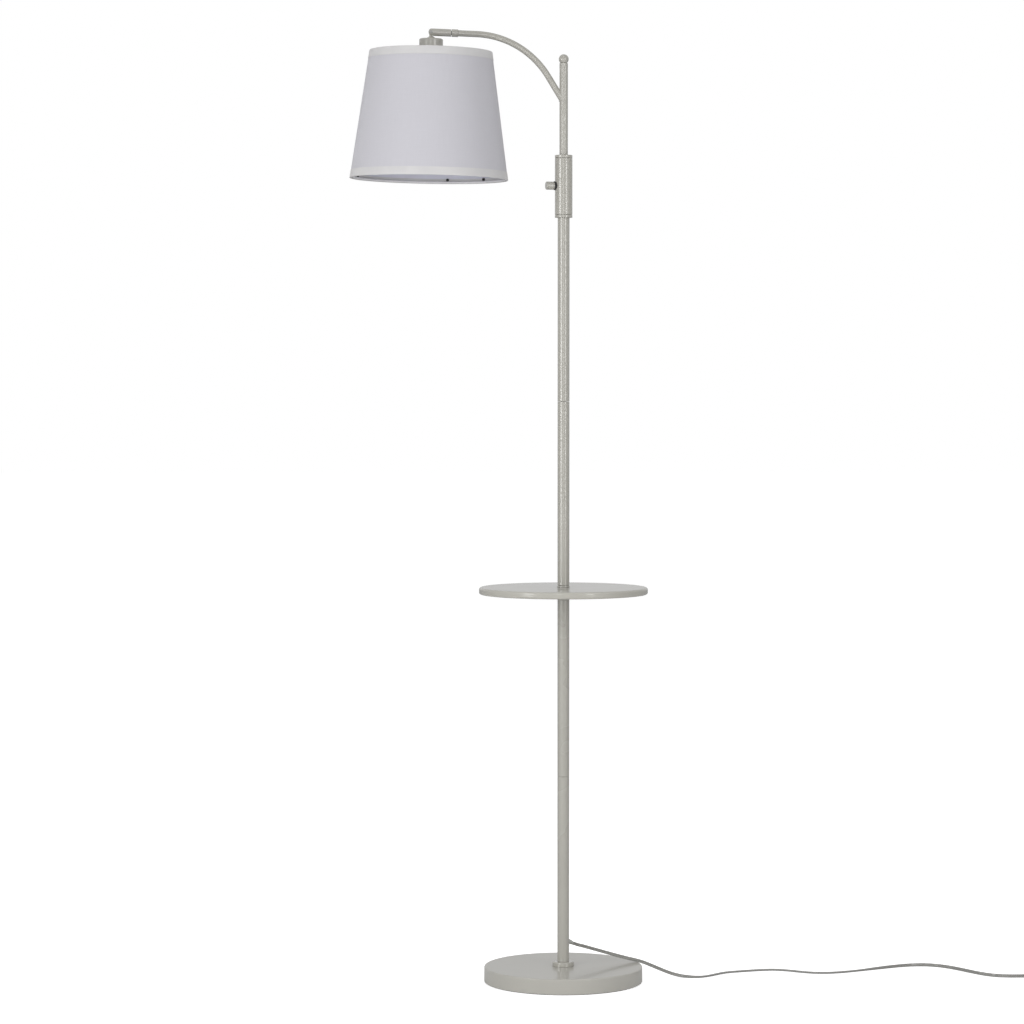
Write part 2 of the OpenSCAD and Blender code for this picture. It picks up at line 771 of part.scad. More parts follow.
module shade_liner() {
    color(white_liner) at_head() mirror([0, 0, 1]) rotate_extrude()
        slope_band(shade_drop + tape_t, shade_bottom - tape_t, tape_t + fabric_t, liner_t);
}

module shade_fabric() {
    color(cloth) at_head() mirror([0, 0, 1]) rotate_extrude()
        slope_band(shade_drop + tape_t, shade_bottom - tape_t, tape_t, fabric_t);
}

// Tape folded over an edge of the shade: outside, over the edge and a little way up the inside
hem_inside = 8;
wall_t = 2 * tape_t + fabric_t + liner_t;
module shade_hem_top() {
    color(hem_tape) at_head() mirror([0, 0, 1]) rotate_extrude() union() {
        slope_band(shade_drop, shade_drop + hem_h, 0, hem_t);
        slope_band(shade_drop, shade_drop + hem_t, 0, wall_t);
        slope_band(shade_drop, shade_drop + hem_inside, wall_t - hem_t, hem_t);
    }
}

module shade_hem_bottom() {
    color(hem_tape) at_head() mirror([0, 0, 1]) rotate_extrude() union() {
        slope_band(shade_bottom - hem_h, shade_bottom, 0, hem_t);
        slope_band(shade_bottom - hem_t, shade_bottom, 0, wall_t);
        slope_band(shade_bottom - hem_inside, shade_bottom, wall_t - hem_t, hem_t);
    }
}

// Radius of a wire ring that lies inside the shade's wall at a depth
wire_gap = 0.15;
function wire_ring_r(drop) = shade_r(drop) - wall_t - wire_gap - wire_d / 2 * (1 + shade_slope);
top_wire_drop = shade_drop + wire_d / 2 + 1;
fitter_r = socket_ring_d / 2;
module shade_fitter() {
    reach = wire_ring_r(top_wire_drop);
    low = cup_rim + fitter_t / 2;
    from = fitter_r - wire_d / 2;
    rise = low - top_wire_drop;
    spoke = norm([reach - from, rise]);
    color(zinc) at_head() mirror([0, 0, 1]) union() {
        plain_ring(socket_d / 2 + 0.2, fitter_r, cup_rim, cup_rim + fitter_t);
        rotate_extrude() translate([reach, top_wire_drop]) circle(d = wire_d);
        for (a = [30, 150, 270]) rotate([0, 0, a]) translate([from, 0, low])
            rotate([0, 90 + atan2(rise, reach - from), 0]) cylinder(d = wire_d - 0.4, h = spoke);
    }
}

bottom_wire_drop = shade_bottom - wire_d / 2 - 1;
module shade_bottom_wire() {
    color(zinc) at_head() mirror([0, 0, 1]) rotate_extrude()
        translate([wire_ring_r(bottom_wire_drop), bottom_wire_drop]) circle(d = wire_d);
}

// Small dark nuts inside the lower edge; angles from the back towards +X
rim_nut_turns = [-70, 13, 45];
rim_nut_d = 4.6;
rim_nut_t = 2.2;
module shade_rim_nuts() {
    drop = shade_bottom - rim_nut_up;
    lean = atan(shade_slope);
    color(black_rubber) at_head() for (a = rim_nut_turns) rotate([0, 0, 90 - a])
        translate([shade_r(drop) - wall_t - wire_gap, 0, -drop]) rotate([0, -90 - lean, 0])
        cylinder(d = rim_nut_d, h = rim_nut_t);
}

// ---------- lead inside the lamp ----------

inner_lead_d = 4.2;
inner_bend_r = 7;
guide_to_lead = 87;
pole_lead_top = guide_z - guide_to_lead;
relief_in = 5.8;
module pole_lead() {
    turn = 90 - lead_exit_drop;
    t = inner_bend_r * tan(turn / 2);
    axis_z = lead_exit_z + pole_r * tan(lead_exit_drop);
    color(clear_pvc) union() {
        at_outlet() translate([0, 0, t - 0.3]) cylinder(d = inner_lead_d, h = relief_in - t + 0.3);
        translate([0, 0, axis_z + t]) rotate([0, 0, lead_exit_turn]) translate([inner_bend_r, 0, 0])
            rotate([90, 0, 0]) rotate([0, 0, 180]) rotate_extrude(angle = turn)
            translate([inner_bend_r, 0]) circle(d = inner_lead_d + 2 * bend_more);
        translate([0, 0, axis_z + t - 0.3]) cylinder(d = inner_lead_d, h = pole_lead_top - axis_z - t + 0.3);
    }
}

stem_lead_bend_r = 30;
module stem_lead() {
    turn = 90 - arm_rise;
    t = stem_lead_bend_r * tan(turn / 2);
    color(clear_pvc) union() {
        translate([0, 0, stem_foot_z]) cylinder(d = inner_lead_d, h = weld_z - t - stem_foot_z + 0.3);
        translate([-stem_lead_bend_r, 0, weld_z - t]) rotate([90, 0, 0]) rotate_extrude(angle = turn)
            translate([stem_lead_bend_r, 0]) circle(d = inner_lead_d + 2 * bend_more);
        arm_run(inner_lead_d / 2, 0, t - 0.3, flange_at);
    }
}

// ---------- free lead ----------

relief_tip = pole_r / cos(lead_exit_drop) + relief_len;
module cord_relief() {
    out = pole_r / cos(lead_exit_drop);
    cut_h = 4 * pole_r;
    color(clear_pvc) union() {
        at_outlet() translate([0, 0, relief_in]) cylinder(r = relief_neck_r - run_gap, h = out - relief_in + 1.5);
        difference() {
            at_outlet() translate([0, 0, out - 3]) cylinder(d = 9.6, h = 5);
            translate([0, 0, lead_exit_z - cut_h / 2]) cylinder(r = pole_r, h = cut_h);
        }
        at_outlet() translate([0, 0, out + 1]) cylinder(d1 = 8.7, d2 = 6.4, h = relief_len - 1);
    }
}

// Way out of the strain relief, and its tip
exit_way = [
    cos(lead_exit_drop) * cos(lead_exit_turn), cos(lead_exit_drop) * sin(lead_exit_turn), -sin(lead_exit_drop)
];
exit_tip = [0, 0, lead_exit_z + pole_r * tan(lead_exit_drop)] + relief_tip * exit_way;

// The coil that holds the rest of the lead: where it lies and how it is wound
coil_at = [795, 64];
coil_r = 34.5;
coil_pitch = 4.2;
coil_layer = 5.9;
coil_turns = 5.25;
coil_low_z = 3.4;
coil_rings = 24;
function coil_radius(t) = coil_r - coil_pitch * min(t, coil_turns - t);
function climb(t) = min(1, max(0, (t - coil_turns / 2) * 2 + 0.5));
function coil_z(t) = coil_low_z + coil_layer * (1 - cos(180 * climb(t))) / 2;
function coil_point(t) = [
    coil_at[0] + coil_radius(t) * cos(360 * t - 90),
    coil_at[1] + coil_radius(t) * sin(360 * t - 90),
    coil_z(t)
];
function unit(v) = v / norm(v);
coil_in_way = unit(coil_point(0.01) - coil_point(0));
coil_out_way = unit(coil_point(coil_turns) - coil_point(coil_turns - 0.01));
coil_start = coil_point(0) - lead_w * coil_in_way;
coil_end = coil_point(coil_turns) + lead_w * coil_out_way;
coil_steps = round(coil_turns * coil_rings);
coil_path = concat(
    [coil_start],
    [for (i = [0:coil_steps]) coil_point(coil_turns * i / coil_steps)],
    [coil_end]
);

// Free stretch from the strain relief over the base and along the floor: x, y, z and the roll of the
// flat lead, 90 on edge and 0 flat
run_points = [
    [18, 29.5, 56, 90], [24, 34, 53.2, 90], [34, 36, 50.4, 90], [58, 36.5, 43.6, 90], [84, 36.5, 36.4, 90],
    [106, 36, 30.8, 90], [120, 35.5, 27.6, 90], [134, 35, 23.2, 90], [154, 34, 15, 90], [174, 32.5, 7.4, 85],
    [192, 30.5, 3.2, 60], [212, 29, 1.8, 15], [230, 35, 1.5, 0], [248, 53, 1.5, 0], [266, 71, 1.5, 0],
    [290, 82, 1.5, 0], [318, 92, 1.5, 0], [344, 97, 1.5, 0], [368, 90, 1.5, 0], [388, 78, 1.5, 0],
    [408, 69, 1.5, 0], [434, 68, 1.5, 0], [462, 78, 1.5, 0], [488, 92, 1.5, 0], [514, 107, 1.9, 25],
    [542, 122, 2.3, 45], [570, 134, 2.5, 60], [598, 137, 2.6, 65], [622, 127, 2.6, 65], [642, 107, 2.6, 65],
    [660, 82, 2.6, 65], [678, 57, 2.6, 65], [698, 39, 2.6, 65], [722, 31, 2.9, 75], [750, 30, 3.2, 90]
];
function with_roll(p, roll) = [p[0], p[1], p[2], roll];
run_route = concat(
    [with_roll(exit_tip, 90), with_roll(exit_tip + lead_w * exit_way, 90)],
    run_points,
    [with_roll(coil_start - 2 * lead_w * coil_in_way, 90), with_roll(coil_start, 90)]
);

// A smooth curve through the route, halved between its points
function between(r, i) = (9 * (r[i] + r[i + 1]) - r[max(0, i - 1)] - r[min(len(r) - 1, i + 2)]) / 16;
run_path = concat(
    [run_route[0]],
    [for (i = [1:len(run_route) - 3]) each [run_route[i], between(run_route, i)]],
    [run_route[len(run_route) - 2], run_route[len(run_route) - 1]]
);

// Rings of a flat lead along a path of x, y, z and roll, and the closed tube over them
function place(p) = [p[0], p[1], p[2]];
function way(path, i) = unit(place(path[min(len(path) - 1, i + 1)]) - place(path[max(0, i - 1)]));
function lead_ring(path, i, sides) =
    let (
        along = way(path, i),
        side = unit(cross([0, 0, 1], along)),
        up = cross(along, side),
        roll = path[i][3],
        wide = side * cos(roll) + up * sin(roll),
        thin = cross(along, wide)
    )
    [for (k = [0:sides - 1])
        place(path[i]) + wide * (lead_w / 2 * cos(360 * k / sides)) + thin * (lead_t / 2 * sin(360 * k / sides))];

module lead_tube(path, sides) {
    last = len(path) - 1;
    points = [for (i = [0:last]) each lead_ring(path, i, sides)];
    walls = [for (i = [0:last - 1], k = [0:sides - 1])
        let (a = i * sides + k, b = i * sides + (k + 1) % sides)
        each [[a, a + sides, b + sides], [a, b + sides, b]]];
    ends = [for (k = [1:sides - 2]) each [[0, k, k + 1], [last * sides, last * sides + k + 1, last * sides + k]]];
    polyhedron(points, concat(walls, ends));
}

module cord_run() {
    lengths = [for (i = [1:len(run_path) - 1]) norm(place(run_path[i]) - place(run_path[i - 1]))];
    echo(run_length = lengths * [for (l = lengths) 1], run_rings = len(run_path));
    color(clear_pvc) lead_tube(run_path, 8);
}

module cord_coil() {
    path = [for (p = coil_path) with_roll(p, 90)];
    last = len(path) - 1;
    lengths = [for (i = [1:last]) norm(coil_path[i] - coil_path[i - 1])];
    rings = [for (i = [0:last]) lead_ring(path, i, 6)];
    near = 2 * lead_w;
    apart = coil_rings / 2;
    gaps = [for (i = [0:last - apart], j = [i + apart:last])
        if (norm(coil_path[i] - coil_path[j]) < near) each [for (p = rings[i], q = rings[j]) norm(p - q)]];
    echo(coil_length = lengths * [for (l = lengths) 1], coil_least_gap = min(gaps));
    color(clear_pvc) lead_tube(path, 6);
}

// Strap that holds the coil together
tie_t = 0.6;
tie_w = 3;
tie_turn = 135;
module cord_tie() {
    r_in = coil_r - coil_pitch * coil_turns / 2 - lead_t / 2 - 0.5;
    r_out = coil_r + lead_t / 2 + 0.5;
    inner_z = [coil_low_z - lead_w / 2 - 0.1, coil_low_z + coil_layer + lead_w / 2 + 0.1];
    color("white") translate([coil_at[0], coil_at[1], 0]) rotate([0, 0, tie_turn]) difference() {
        translate([r_in - tie_t, -tie_w / 2, inner_z[0] - tie_t])
            cube([r_out - r_in + 2 * tie_t, tie_w, inner_z[1] - inner_z[0] + 2 * tie_t]);
        translate([r_in, -tie_w, inner_z[0]]) cube([r_out - r_in, 2 * tie_w, inner_z[1] - inner_z[0]]);
    }
}

// Moves its children to the end of the coil: +Z runs on along the lead and +X is up
module at_plug() {
    translate(coil_end) rotate([0, 0, atan2(coil_out_way[1], coil_out_way[0])]) rotate([0, 90, 0]) rotate([0, 0, 180])
        children();
}

plug_w = 23;
plug_h = 16.4;
plug_len = 24;
plug_neck = 12;
plug_round = 3;
module plug_body() {
    color(clear_pvc) at_plug() union() {
        cylinder(d1 = 7, d2 = 10, h = plug_neck);
        hull() {
            for (x = [-1, 1], y = [-1, 1], z = [0, 1])
                translate([
                    x * (plug_h / 2 - plug_round - (1 - z) * 2), y * (plug_w / 2 - plug_round - (1 - z) * 4),
                    plug_neck - 1 + plug_round + z * (plug_len - 2 * plug_round)
                ]) sphere(r = plug_round, $fn = 16);
        }
    }
}

blade_gap = 12.7;
blade_w = [6.3, 7.9];
blade_t = 1.5;
blade_len = 17;
module plug_blades() {
    color(brass) at_plug() for (k = [0, 1]) translate([0, (k - 0.5) * blade_gap, plug_neck - 1 + plug_len])
        difference() {
            translate([-blade_w[k] / 2, -blade_t / 2, 0]) cube([blade_w[k], blade_t, blade_len]);
            translate([0, 0, blade_len - 4.5]) rotate([90, 0, 0]) cylinder(d = 3, h = 2 * blade_t, center = true);
        }
}

base_pad();
base_weight();
base_cover();
base_washer();
base_nut();
base_stud();
foot_ring();
pole_section_1();
pole_section_2();
pole_section_3();
pole_section_4();
pole_inserts();
pole_joiners();
cord_relief();
pole_lead();
table_ring_lower();
table_top();
table_ring_upper();
table_stud();
sleeve_cap_lower();
sleeve_body();
sleeve_cap_upper();
clamp_block();
clamp_washer();
clamp_screw();
clamp_knob();
stem_guide();
stem_clips();
stem_tube();
stem_finial();
arm_tube();
arm_collar();
swivel_stud();
swivel_washer();
stem_lead();
swivel_barrel();
knuckle_fork();
tilt_screw();
friction_washers();
knuckle_tongue();
socket_cup();
socket_body();
socket_shell();
socket_contact();
socket_ring();
switch_key();
bulb_cap();
bulb_glass();
shade_fitter();
shade_bottom_wire();
shade_liner();
shade_fabric();
shade_hem_top();
shade_hem_bottom();
shade_rim_nuts();
cord_run();
cord_coil();
cord_tie();
plug_body();
plug_blades();
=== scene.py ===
from math import atan2, cos, pi, radians, sin, sqrt, tan

import bmesh
import bpy
from mathutils import Matrix, Vector


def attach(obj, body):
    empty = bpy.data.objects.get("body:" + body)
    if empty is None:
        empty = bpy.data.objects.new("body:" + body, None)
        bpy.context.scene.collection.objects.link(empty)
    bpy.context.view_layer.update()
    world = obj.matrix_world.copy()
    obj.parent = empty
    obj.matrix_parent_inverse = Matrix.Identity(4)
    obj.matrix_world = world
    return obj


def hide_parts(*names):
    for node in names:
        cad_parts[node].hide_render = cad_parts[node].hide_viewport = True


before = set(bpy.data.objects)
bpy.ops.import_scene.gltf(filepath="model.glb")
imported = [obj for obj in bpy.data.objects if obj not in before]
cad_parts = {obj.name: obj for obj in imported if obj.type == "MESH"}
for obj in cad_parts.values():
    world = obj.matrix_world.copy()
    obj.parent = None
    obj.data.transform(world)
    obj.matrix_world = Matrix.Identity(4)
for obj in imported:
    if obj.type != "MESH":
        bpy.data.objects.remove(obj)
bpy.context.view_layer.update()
MM = 0.001

# ---------- Camera ----------
# A long lens at chest height, a little to the left of the pole and tipped down by about two degrees.

CAMERA_AT = (-0.0823, -5.39, 0.965)
CAMERA_DIP = 2.2345
CAMERA_LENS = 118.6

camera_data = bpy.data.cameras.new("camera")
camera_data.lens = CAMERA_LENS
camera_data.sensor_width = 36
camera_data.clip_end = 100
camera = bpy.data.objects.new("camera", camera_data)
camera.location = CAMERA_AT
camera.rotation_euler = (radians(90 - CAMERA_DIP), 0, 0)
bpy.context.scene.collection.objects.link(camera)
bpy.context.scene.camera = camera

# ---------- Free lead ----------
# Flat two-core lamp cord: tinned copper strands in clear PVC with a groove down the middle. It leaves the
# pole above the base, drops over the base's edge, runs along the floor and ends in a tied coil.

LEAD_WIDE = 5.3
LEAD_THIN = 2.8
LEAD_CORE_APART = 2.5
LEAD_CORE_ARC = 126
LEAD_CORE_STEP = 28
POLE_R = 9.5
OUTLET_Z = 65
OUTLET_TURN = 60
OUTLET_DROP = 20
RELIEF_LEN = 20
ON_EDGE = 90
# Free stretch: x, y, z and roll of the flat lead, as in the part's source
LEAD_POINTS = [
    (18, 29.5, 56, 90), (24, 34, 53.2, 90), (34, 36, 50.4, 90), (58, 36.5, 43.6, 90), (84, 36.5, 36.4, 90),
    (106, 36, 30.8, 90), (120, 35.5, 27.6, 90), (134, 35, 23.2, 90), (154, 34, 15, 90), (174, 32.5, 7.4, 85),
    (192, 30.5, 3.2, 60), (212, 29, 1.8, 15), (230, 35, 1.5, 0), (248, 53, 1.5, 0), (266, 71, 1.5, 0),
    (290, 82, 1.5, 0), (318, 92, 1.5, 0), (344, 97, 1.5, 0), (368, 90, 1.5, 0), (388, 78, 1.5, 0),
    (408, 69, 1.5, 0), (434, 68, 1.5, 0), (462, 78, 1.5, 0), (488, 92, 1.5, 0), (514, 107, 1.9, 25),
    (542, 122, 2.3, 45), (570, 134, 2.5, 60), (598, 137, 2.6, 65), (622, 127, 2.6, 65), (642, 107, 2.6, 65),
    (660, 82, 2.6, 65), (678, 57, 2.6, 65), (698, 39, 2.6, 65), (722, 31, 2.9, 75), (750, 30, 3.2, 90),
]
COIL_AT = (795, 64)
COIL_R = 34.5
COIL_PITCH = 4.2
COIL_LAYER = 5.9
COIL_TURNS = 5.25
COIL_LOW = 3.4
COIL_STEPS_A_TURN = 48


def srgb(code):
    """Linear colour of a hex code."""
    parts = [int(code[i:i + 2], 16) / 255 for i in (0, 2, 4)]
    return [p / 12.92 if p <= 0.04045 else ((p + 0.055) / 1.055) ** 2.4 for p in parts] + [1.0]


def add(tree, kind, settings=None, links=None):
    """Adds a shader node; settings set its sockets or properties, links join other nodes' sockets to it."""
    new = tree.nodes.new(kind)
    for key, value in (settings or {}).items():
        if isinstance(key, str) and hasattr(new, key):
            setattr(new, key, value)
        else:
            new.inputs[key].default_value = value
    for key, (other, socket) in (links or {}).items():
        tree.links.new(other.outputs[socket], new.inputs[key])
    return new


def material(name, settings):
    """A new material: its node tree and its surface shader with these settings."""
    made = bpy.data.materials.new(name)
    made.use_nodes = True
    shader = made.node_tree.nodes["Principled BSDF"]
    for key, value in settings.items():
        shader.inputs[key].default_value = value
    return made, made.node_tree, shader


def ramp(tree, stops, source):
    """A colour ramp through (position, colour) stops, fed by (node, socket)."""
    made = add(tree, "ShaderNodeValToRGB", links={"Fac": source})
    while len(made.color_ramp.elements) < len(stops):
        made.color_ramp.elements.new(0.5)
    for element, (at, colour) in zip(made.color_ramp.elements, stops):
        element.position = at
        element.color = colour
    return made


def join_bump(tree, shader, height, distance, strength=1.0):
    """Bump of that height in metres on the shader."""
    bump = add(tree, "ShaderNodeBump", {"Distance": distance, "Strength": strength}, {"Height": height})
    tree.links.new(bump.outputs["Normal"], shader.inputs["Normal"])


def piece(name, bm, finish, body, nodes=(), sharp=32):
    """Makes an object of a mesh in millimetres, smooth but for its sharp edges, and ties it to the frame."""
    bmesh.ops.remove_doubles(bm, verts=bm.verts, dist=0.0005)
    bmesh.ops.recalc_face_normals(bm, faces=bm.faces)
    bmesh.ops.scale(bm, vec=(MM, MM, MM), verts=bm.verts)
    mesh = bpy.data.meshes.new(name)
    bm.to_mesh(mesh)
    bm.free()
    for face in mesh.polygons:
        face.use_smooth = True
    mesh.set_sharp_from_angle(angle=radians(sharp))
    made = bpy.data.objects.new(name, mesh)
    made.data.materials.append(finish)
    bpy.context.scene.collection.objects.link(made)
    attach(made, body)
    if nodes:
        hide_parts(*nodes)
    return made


def sweep(bm, rings, closed=False):
    """Skins a list of rings of points, with a lengthways (V, in mm) and round (U, 0 to 1) layout."""
    uv = bm.loops.layers.uv.new("UVMap")
    made = [[bm.verts.new(p) for p in ring] for ring in rings]
    count = len(made[0])
    along = [0.0]
    for a, b in zip(rings, rings[1:] + rings[:1]):
        along.append(along[-1] + (Vector(b[0]) - Vector(a[0])).length)
    pairs = len(made) if closed else len(made) - 1
    for i in range(pairs):
        a, b = made[i], made[(i + 1) % len(made)]
        for k in range(count):
            n = (k + 1) % count
            face = bm.faces.new((a[k], a[n], b[n], b[k]))
            for loop, (u, v) in zip(face.loops, ((k, i), (k + 1, i), (k + 1, i + 1), (k, i + 1))):
                loop[uv].uv = (u / count, along[v])
    if not closed:
        bm.faces.new(made[0])
        bm.faces.new(made[-1])
    return bm


def halved(points):
    """The points with a smooth point between each two."""
    last = len(points) - 1
    out = [points[0]]
    for i in range(last):
        a, b = points[i], points[i + 1]
        before, after = points[max(0, i - 1)], points[min(last, i + 2)]
        out += [tuple((9 * (q + r) - p - s) / 16 for p, q, r, s in zip(before, a, b, after)), b]
    return out


def coil_point(t):
    """The point of the coil after t turns: inwards in the lower layer, then outwards in the upper one."""
    r = COIL_R - COIL_PITCH * min(t, COIL_TURNS - t)
    climb = min(1, max(0, (t - COIL_TURNS / 2) * 2 + 0.5))
    z = COIL_LOW + COIL_LAYER * (1 - cos(pi * climb)) / 2
    a = 2 * pi * t - pi / 2
    return (COIL_AT[0] + r * cos(a), COIL_AT[1] + r * sin(a), z, ON_EDGE)


def going(a, b):
    return (Vector(b[:3]) - Vector(a[:3])).normalized()


out_way = Vector((
    cos(radians(OUTLET_DROP)) * cos(radians(OUTLET_TURN)),
    cos(radians(OUTLET_DROP)) * sin(radians(OUTLET_TURN)),
    -sin(radians(OUTLET_DROP)),
))
outlet = Vector((0, 0, OUTLET_Z + POLE_R * tan(radians(OUTLET_DROP))))
outlet_r = POLE_R / cos(radians(OUTLET_DROP))
exit_tip = outlet + (outlet_r + RELIEF_LEN) * out_way
coil_in = going(coil_point(0), coil_point(0.01))
coil_out = going(coil_point(COIL_TURNS - 0.01), coil_point(COIL_TURNS))
coil_start = Vector(coil_point(0)[:3]) - LEAD_WIDE * coil_in
coil_end = Vector(coil_point(COIL_TURNS)[:3]) + LEAD_WIDE * coil_out
route = (
    [(*exit_tip, ON_EDGE), (*(exit_tip + LEAD_WIDE * out_way), ON_EDGE)]
    + LEAD_POINTS
    + [(*(coil_start - 2 * LEAD_WIDE * coil_in), ON_EDGE), (*coil_start, ON_EDGE)]
)
coil_steps = round(COIL_TURNS * COIL_STEPS_A_TURN)
lead_path = halved(halved(halved(route)))
lead_path += [coil_point(COIL_TURNS * i / coil_steps) for i in range(coil_steps + 1)]
lead_path += [(*coil_end, ON_EDGE)]


def lead_section():
    """Outline of the two cores and the web between them: (across, through)."""
    r = LEAD_THIN / 2
    arc = [radians(a) for a in range(-LEAD_CORE_ARC, LEAD_CORE_ARC + 1, LEAD_CORE_STEP)]
    right = [(LEAD_CORE_APART / 2 + r * cos(a), r * sin(a)) for a in arc]
    left = [(-x, -y) for x, y in right]
    return right + left


def lead_rings(path):
    """The lead's outline set across each point of its path, at that point's roll."""
    rings = []
    last = len(path) - 1
    for i, p in enumerate(path):
        along = going(path[max(0, i - 1)], path[min(last, i + 1)])
        side = Vector((0, 0, 1)).cross(along).normalized()
        up = along.cross(side)
        roll = radians(p[3])
        wide = side * cos(roll) + up * sin(roll)
        thin = along.cross(wide)
        rings.append([Vector(p[:3]) + wide * x + thin * y for x, y in lead_section()])
    return rings


# Clear PVC over bright strands: the strands' slant shows as fine stripes under a glossy skin
clear_cord, tree, shader = material("clear_pvc_cord", {
    "Roughness": 0.3, "Metallic": 0.55, "IOR": 1.5,
    "Coat Weight": 1.0, "Coat Roughness": 0.08, "Coat IOR": 1.53,
})
coordinates = add(tree, "ShaderNodeTexCoord")
stretched = add(tree, "ShaderNodeMapping", {"Scale": (18, 0.9, 1)}, {"Vector": (coordinates, "UV")})
strands = add(
    tree, "ShaderNodeTexWave",
    {"bands_direction": "DIAGONAL", "Scale": 1.0, "Distortion": 0.6, "Detail": 2.0, "Detail Scale": 2.0},
    {"Vector": (stretched, "Vector")},
)
strand_tint = ramp(tree, [(0.1, srgb("6a6a66")), (0.9, srgb("b4b3ae"))], (strands, "Fac"))
tree.links.new(strand_tint.outputs["Color"], shader.inputs["Base Color"])
join_bump(tree, shader, (strands, "Fac"), 0.00008)

lead = piece("free_lead", sweep(bmesh.new(), lead_rings(lead_path)), clear_cord, "stand",
             ["cord_run", "cord_coil"], sharp=70)

# ---------- Strain relief ----------
# Moulded PVC grommet that snaps into the pole's wall: a round flange against the tube and a tapered,
# ribbed tail round the lead.

RELIEF_FLANGE_R = 4.8
RELIEF_FLANGE_OUT = 2.6
RELIEF_NECK_R = 3.7
RELIEF_FROM = 5.8
RELIEF_TAIL_R = 4.2
RELIEF_TAPER = 1.0
RELIEF_RIBS = 5
RELIEF_RIB_HIGH = 0.22
BRACE = 0.25
TINY = 1e-6


def braced(profile):
    """The profile with a point close to each corner on its long sides, so that they shade as straight."""
    count = len(profile)
    points = [Vector(p) for p in profile]
    ways = [points[(i + 1) % count] - points[i] for i in range(count)]
    corner = []
    for i in range(count):
        long_enough = min(ways[i].length, ways[i - 1].length) > TINY
        corner.append(long_enough and ways[i].angle(ways[i - 1]) > 0.02)
    out = []
    for i, way in enumerate(ways):
        out.append(points[i])
        if way.length > 4 * BRACE:
            if corner[i]:
                out.append(points[i] + BRACE * way.normalized())
            if corner[(i + 1) % count]:
                out.append(points[(i + 1) % count] - BRACE * way.normalized())
    return [tuple(p) for p in out]


def turned(profile, steps=96, start=0.0, angle=2 * pi):
    """Turns a profile of (radius, height) in mm about Z, with a round (U) and lengthways (V) layout."""
    profile = braced(profile)
    bm = bmesh.new()
    uv = bm.loops.layers.uv.new("UVMap")
    count = len(profile)
    whole = abs(angle - 2 * pi) < TINY
    rings = steps if whole else steps + 1
    verts = []
    for i in range(rings):
        a = start + angle * i / steps
        verts.append([bm.verts.new((r * cos(a), r * sin(a), z)) for r, z in profile])
    along = [0.0]
    for p, q in zip(profile, profile[1:] + profile[:1]):
        along.append(along[-1] + sqrt((p[0] - q[0]) ** 2 + (p[1] - q[1]) ** 2))
    for i in range(steps):
        a, b = verts[i], verts[(i + 1) % rings]
        for k in range(count):
            n = (k + 1) % count
            if profile[k][0] < TINY and profile[n][0] < TINY:
                continue
            corners = [a[k], a[n], b[n], b[k]]
            places = [(i, k), (i, k + 1), (i + 1, k + 1), (i + 1, k)]
            if profile[k][0] < TINY:
                corners, places = [a[k], a[n], b[n]], [(i + 0.5, k), (i, k + 1), (i + 1, k + 1)]
            elif profile[n][0] < TINY:
                corners, places = [a[k], a[n], b[k]], [(i, k), (i + 0.5, k + 1), (i + 1, k)]
            face = bm.faces.new(corners)
            for loop, (u, v) in zip(face.loops, places):
                loop[uv].uv = (u / steps, along[v])
    return bm


def rounded(corners, segments=5):
    """A closed profile with each (r, z, radius) corner rounded by that radius."""
    out = []
    count = len(corners)
    for i, (x, y, fillet) in enumerate(corners):
        here = Vector((x, y))
        before = Vector(corners[i - 1][:2]) - here
        after = Vector(corners[(i + 1) % count][:2]) - here
        if fillet <= 0:
            out.append((x, y))
            continue
        half = before.angle(after) / 2
        back = min(fillet / tan(half), before.length * 0.499, after.length * 0.499)
        fillet = back * tan(half)
        middle = here + (before.normalized() + after.normalized()).normalized() * (fillet / sin(half))
        first = here + before.normalized() * back - middle
        last = here + after.normalized() * back - middle
        sweep_by = first.angle_signed(last)
        for k in range(segments + 1):
            out.append(tuple(middle + Matrix.Rotation(-sweep_by * k / segments, 2) @ first))
    return out


def moved(bm, matrix):
    """The mesh moved by the matrix."""
    bmesh.ops.transform(bm, matrix=matrix, verts=bm.verts)
    return bm


def facing(way, at):
    """Matrix that sends +Z to a direction and the origin to a point."""
    return Matrix.Translation(at) @ Vector((0, 0, 1)).rotation_difference(Vector(way)).to_matrix().to_4x4()


def grained(name, values, scale, detail, tints, bump=0.0, gloss=None):
    """A finish whose tint, and bump in metres and roughness where given, follow one fine noise."""
    finish, tree, shader = material(name, values)
    coordinates = add(tree, "ShaderNodeTexCoord")
    settings = {"Scale": scale, "Detail": detail}
    grain = add(tree, "ShaderNodeTexNoise", settings, {"Vector": (coordinates, "Object")})
    tint = ramp(tree, [(0.3, srgb(tints[0])), (0.7, srgb(tints[1]))], (grain, "Fac"))
    tree.links.new(tint.outputs["Color"], shader.inputs["Base Color"])
    if gloss:
        rough = ramp(tree, [(0.3, (*[gloss[0]] * 3, 1)), (0.7, (*[gloss[1]] * 3, 1))], (grain, "Fac"))
        tree.links.new(rough.outputs["Color"], shader.inputs["Roughness"])
    if bump:
        join_bump(tree, shader, (grain, "Fac"), bump)
    return finish


# The same clear PVC, moulded: a milky grey with a soft gloss
moulded_pvc = grained("clear_pvc_moulded", {
    "Roughness": 0.22, "IOR": 1.53, "Subsurface Weight": 0.25, "Subsurface Radius": (0.004, 0.004, 0.004),
    "Subsurface Scale": 1.0,
}, 260.0, 3.0, ("9b9d99", "b9bab5"), bump=0.00005)

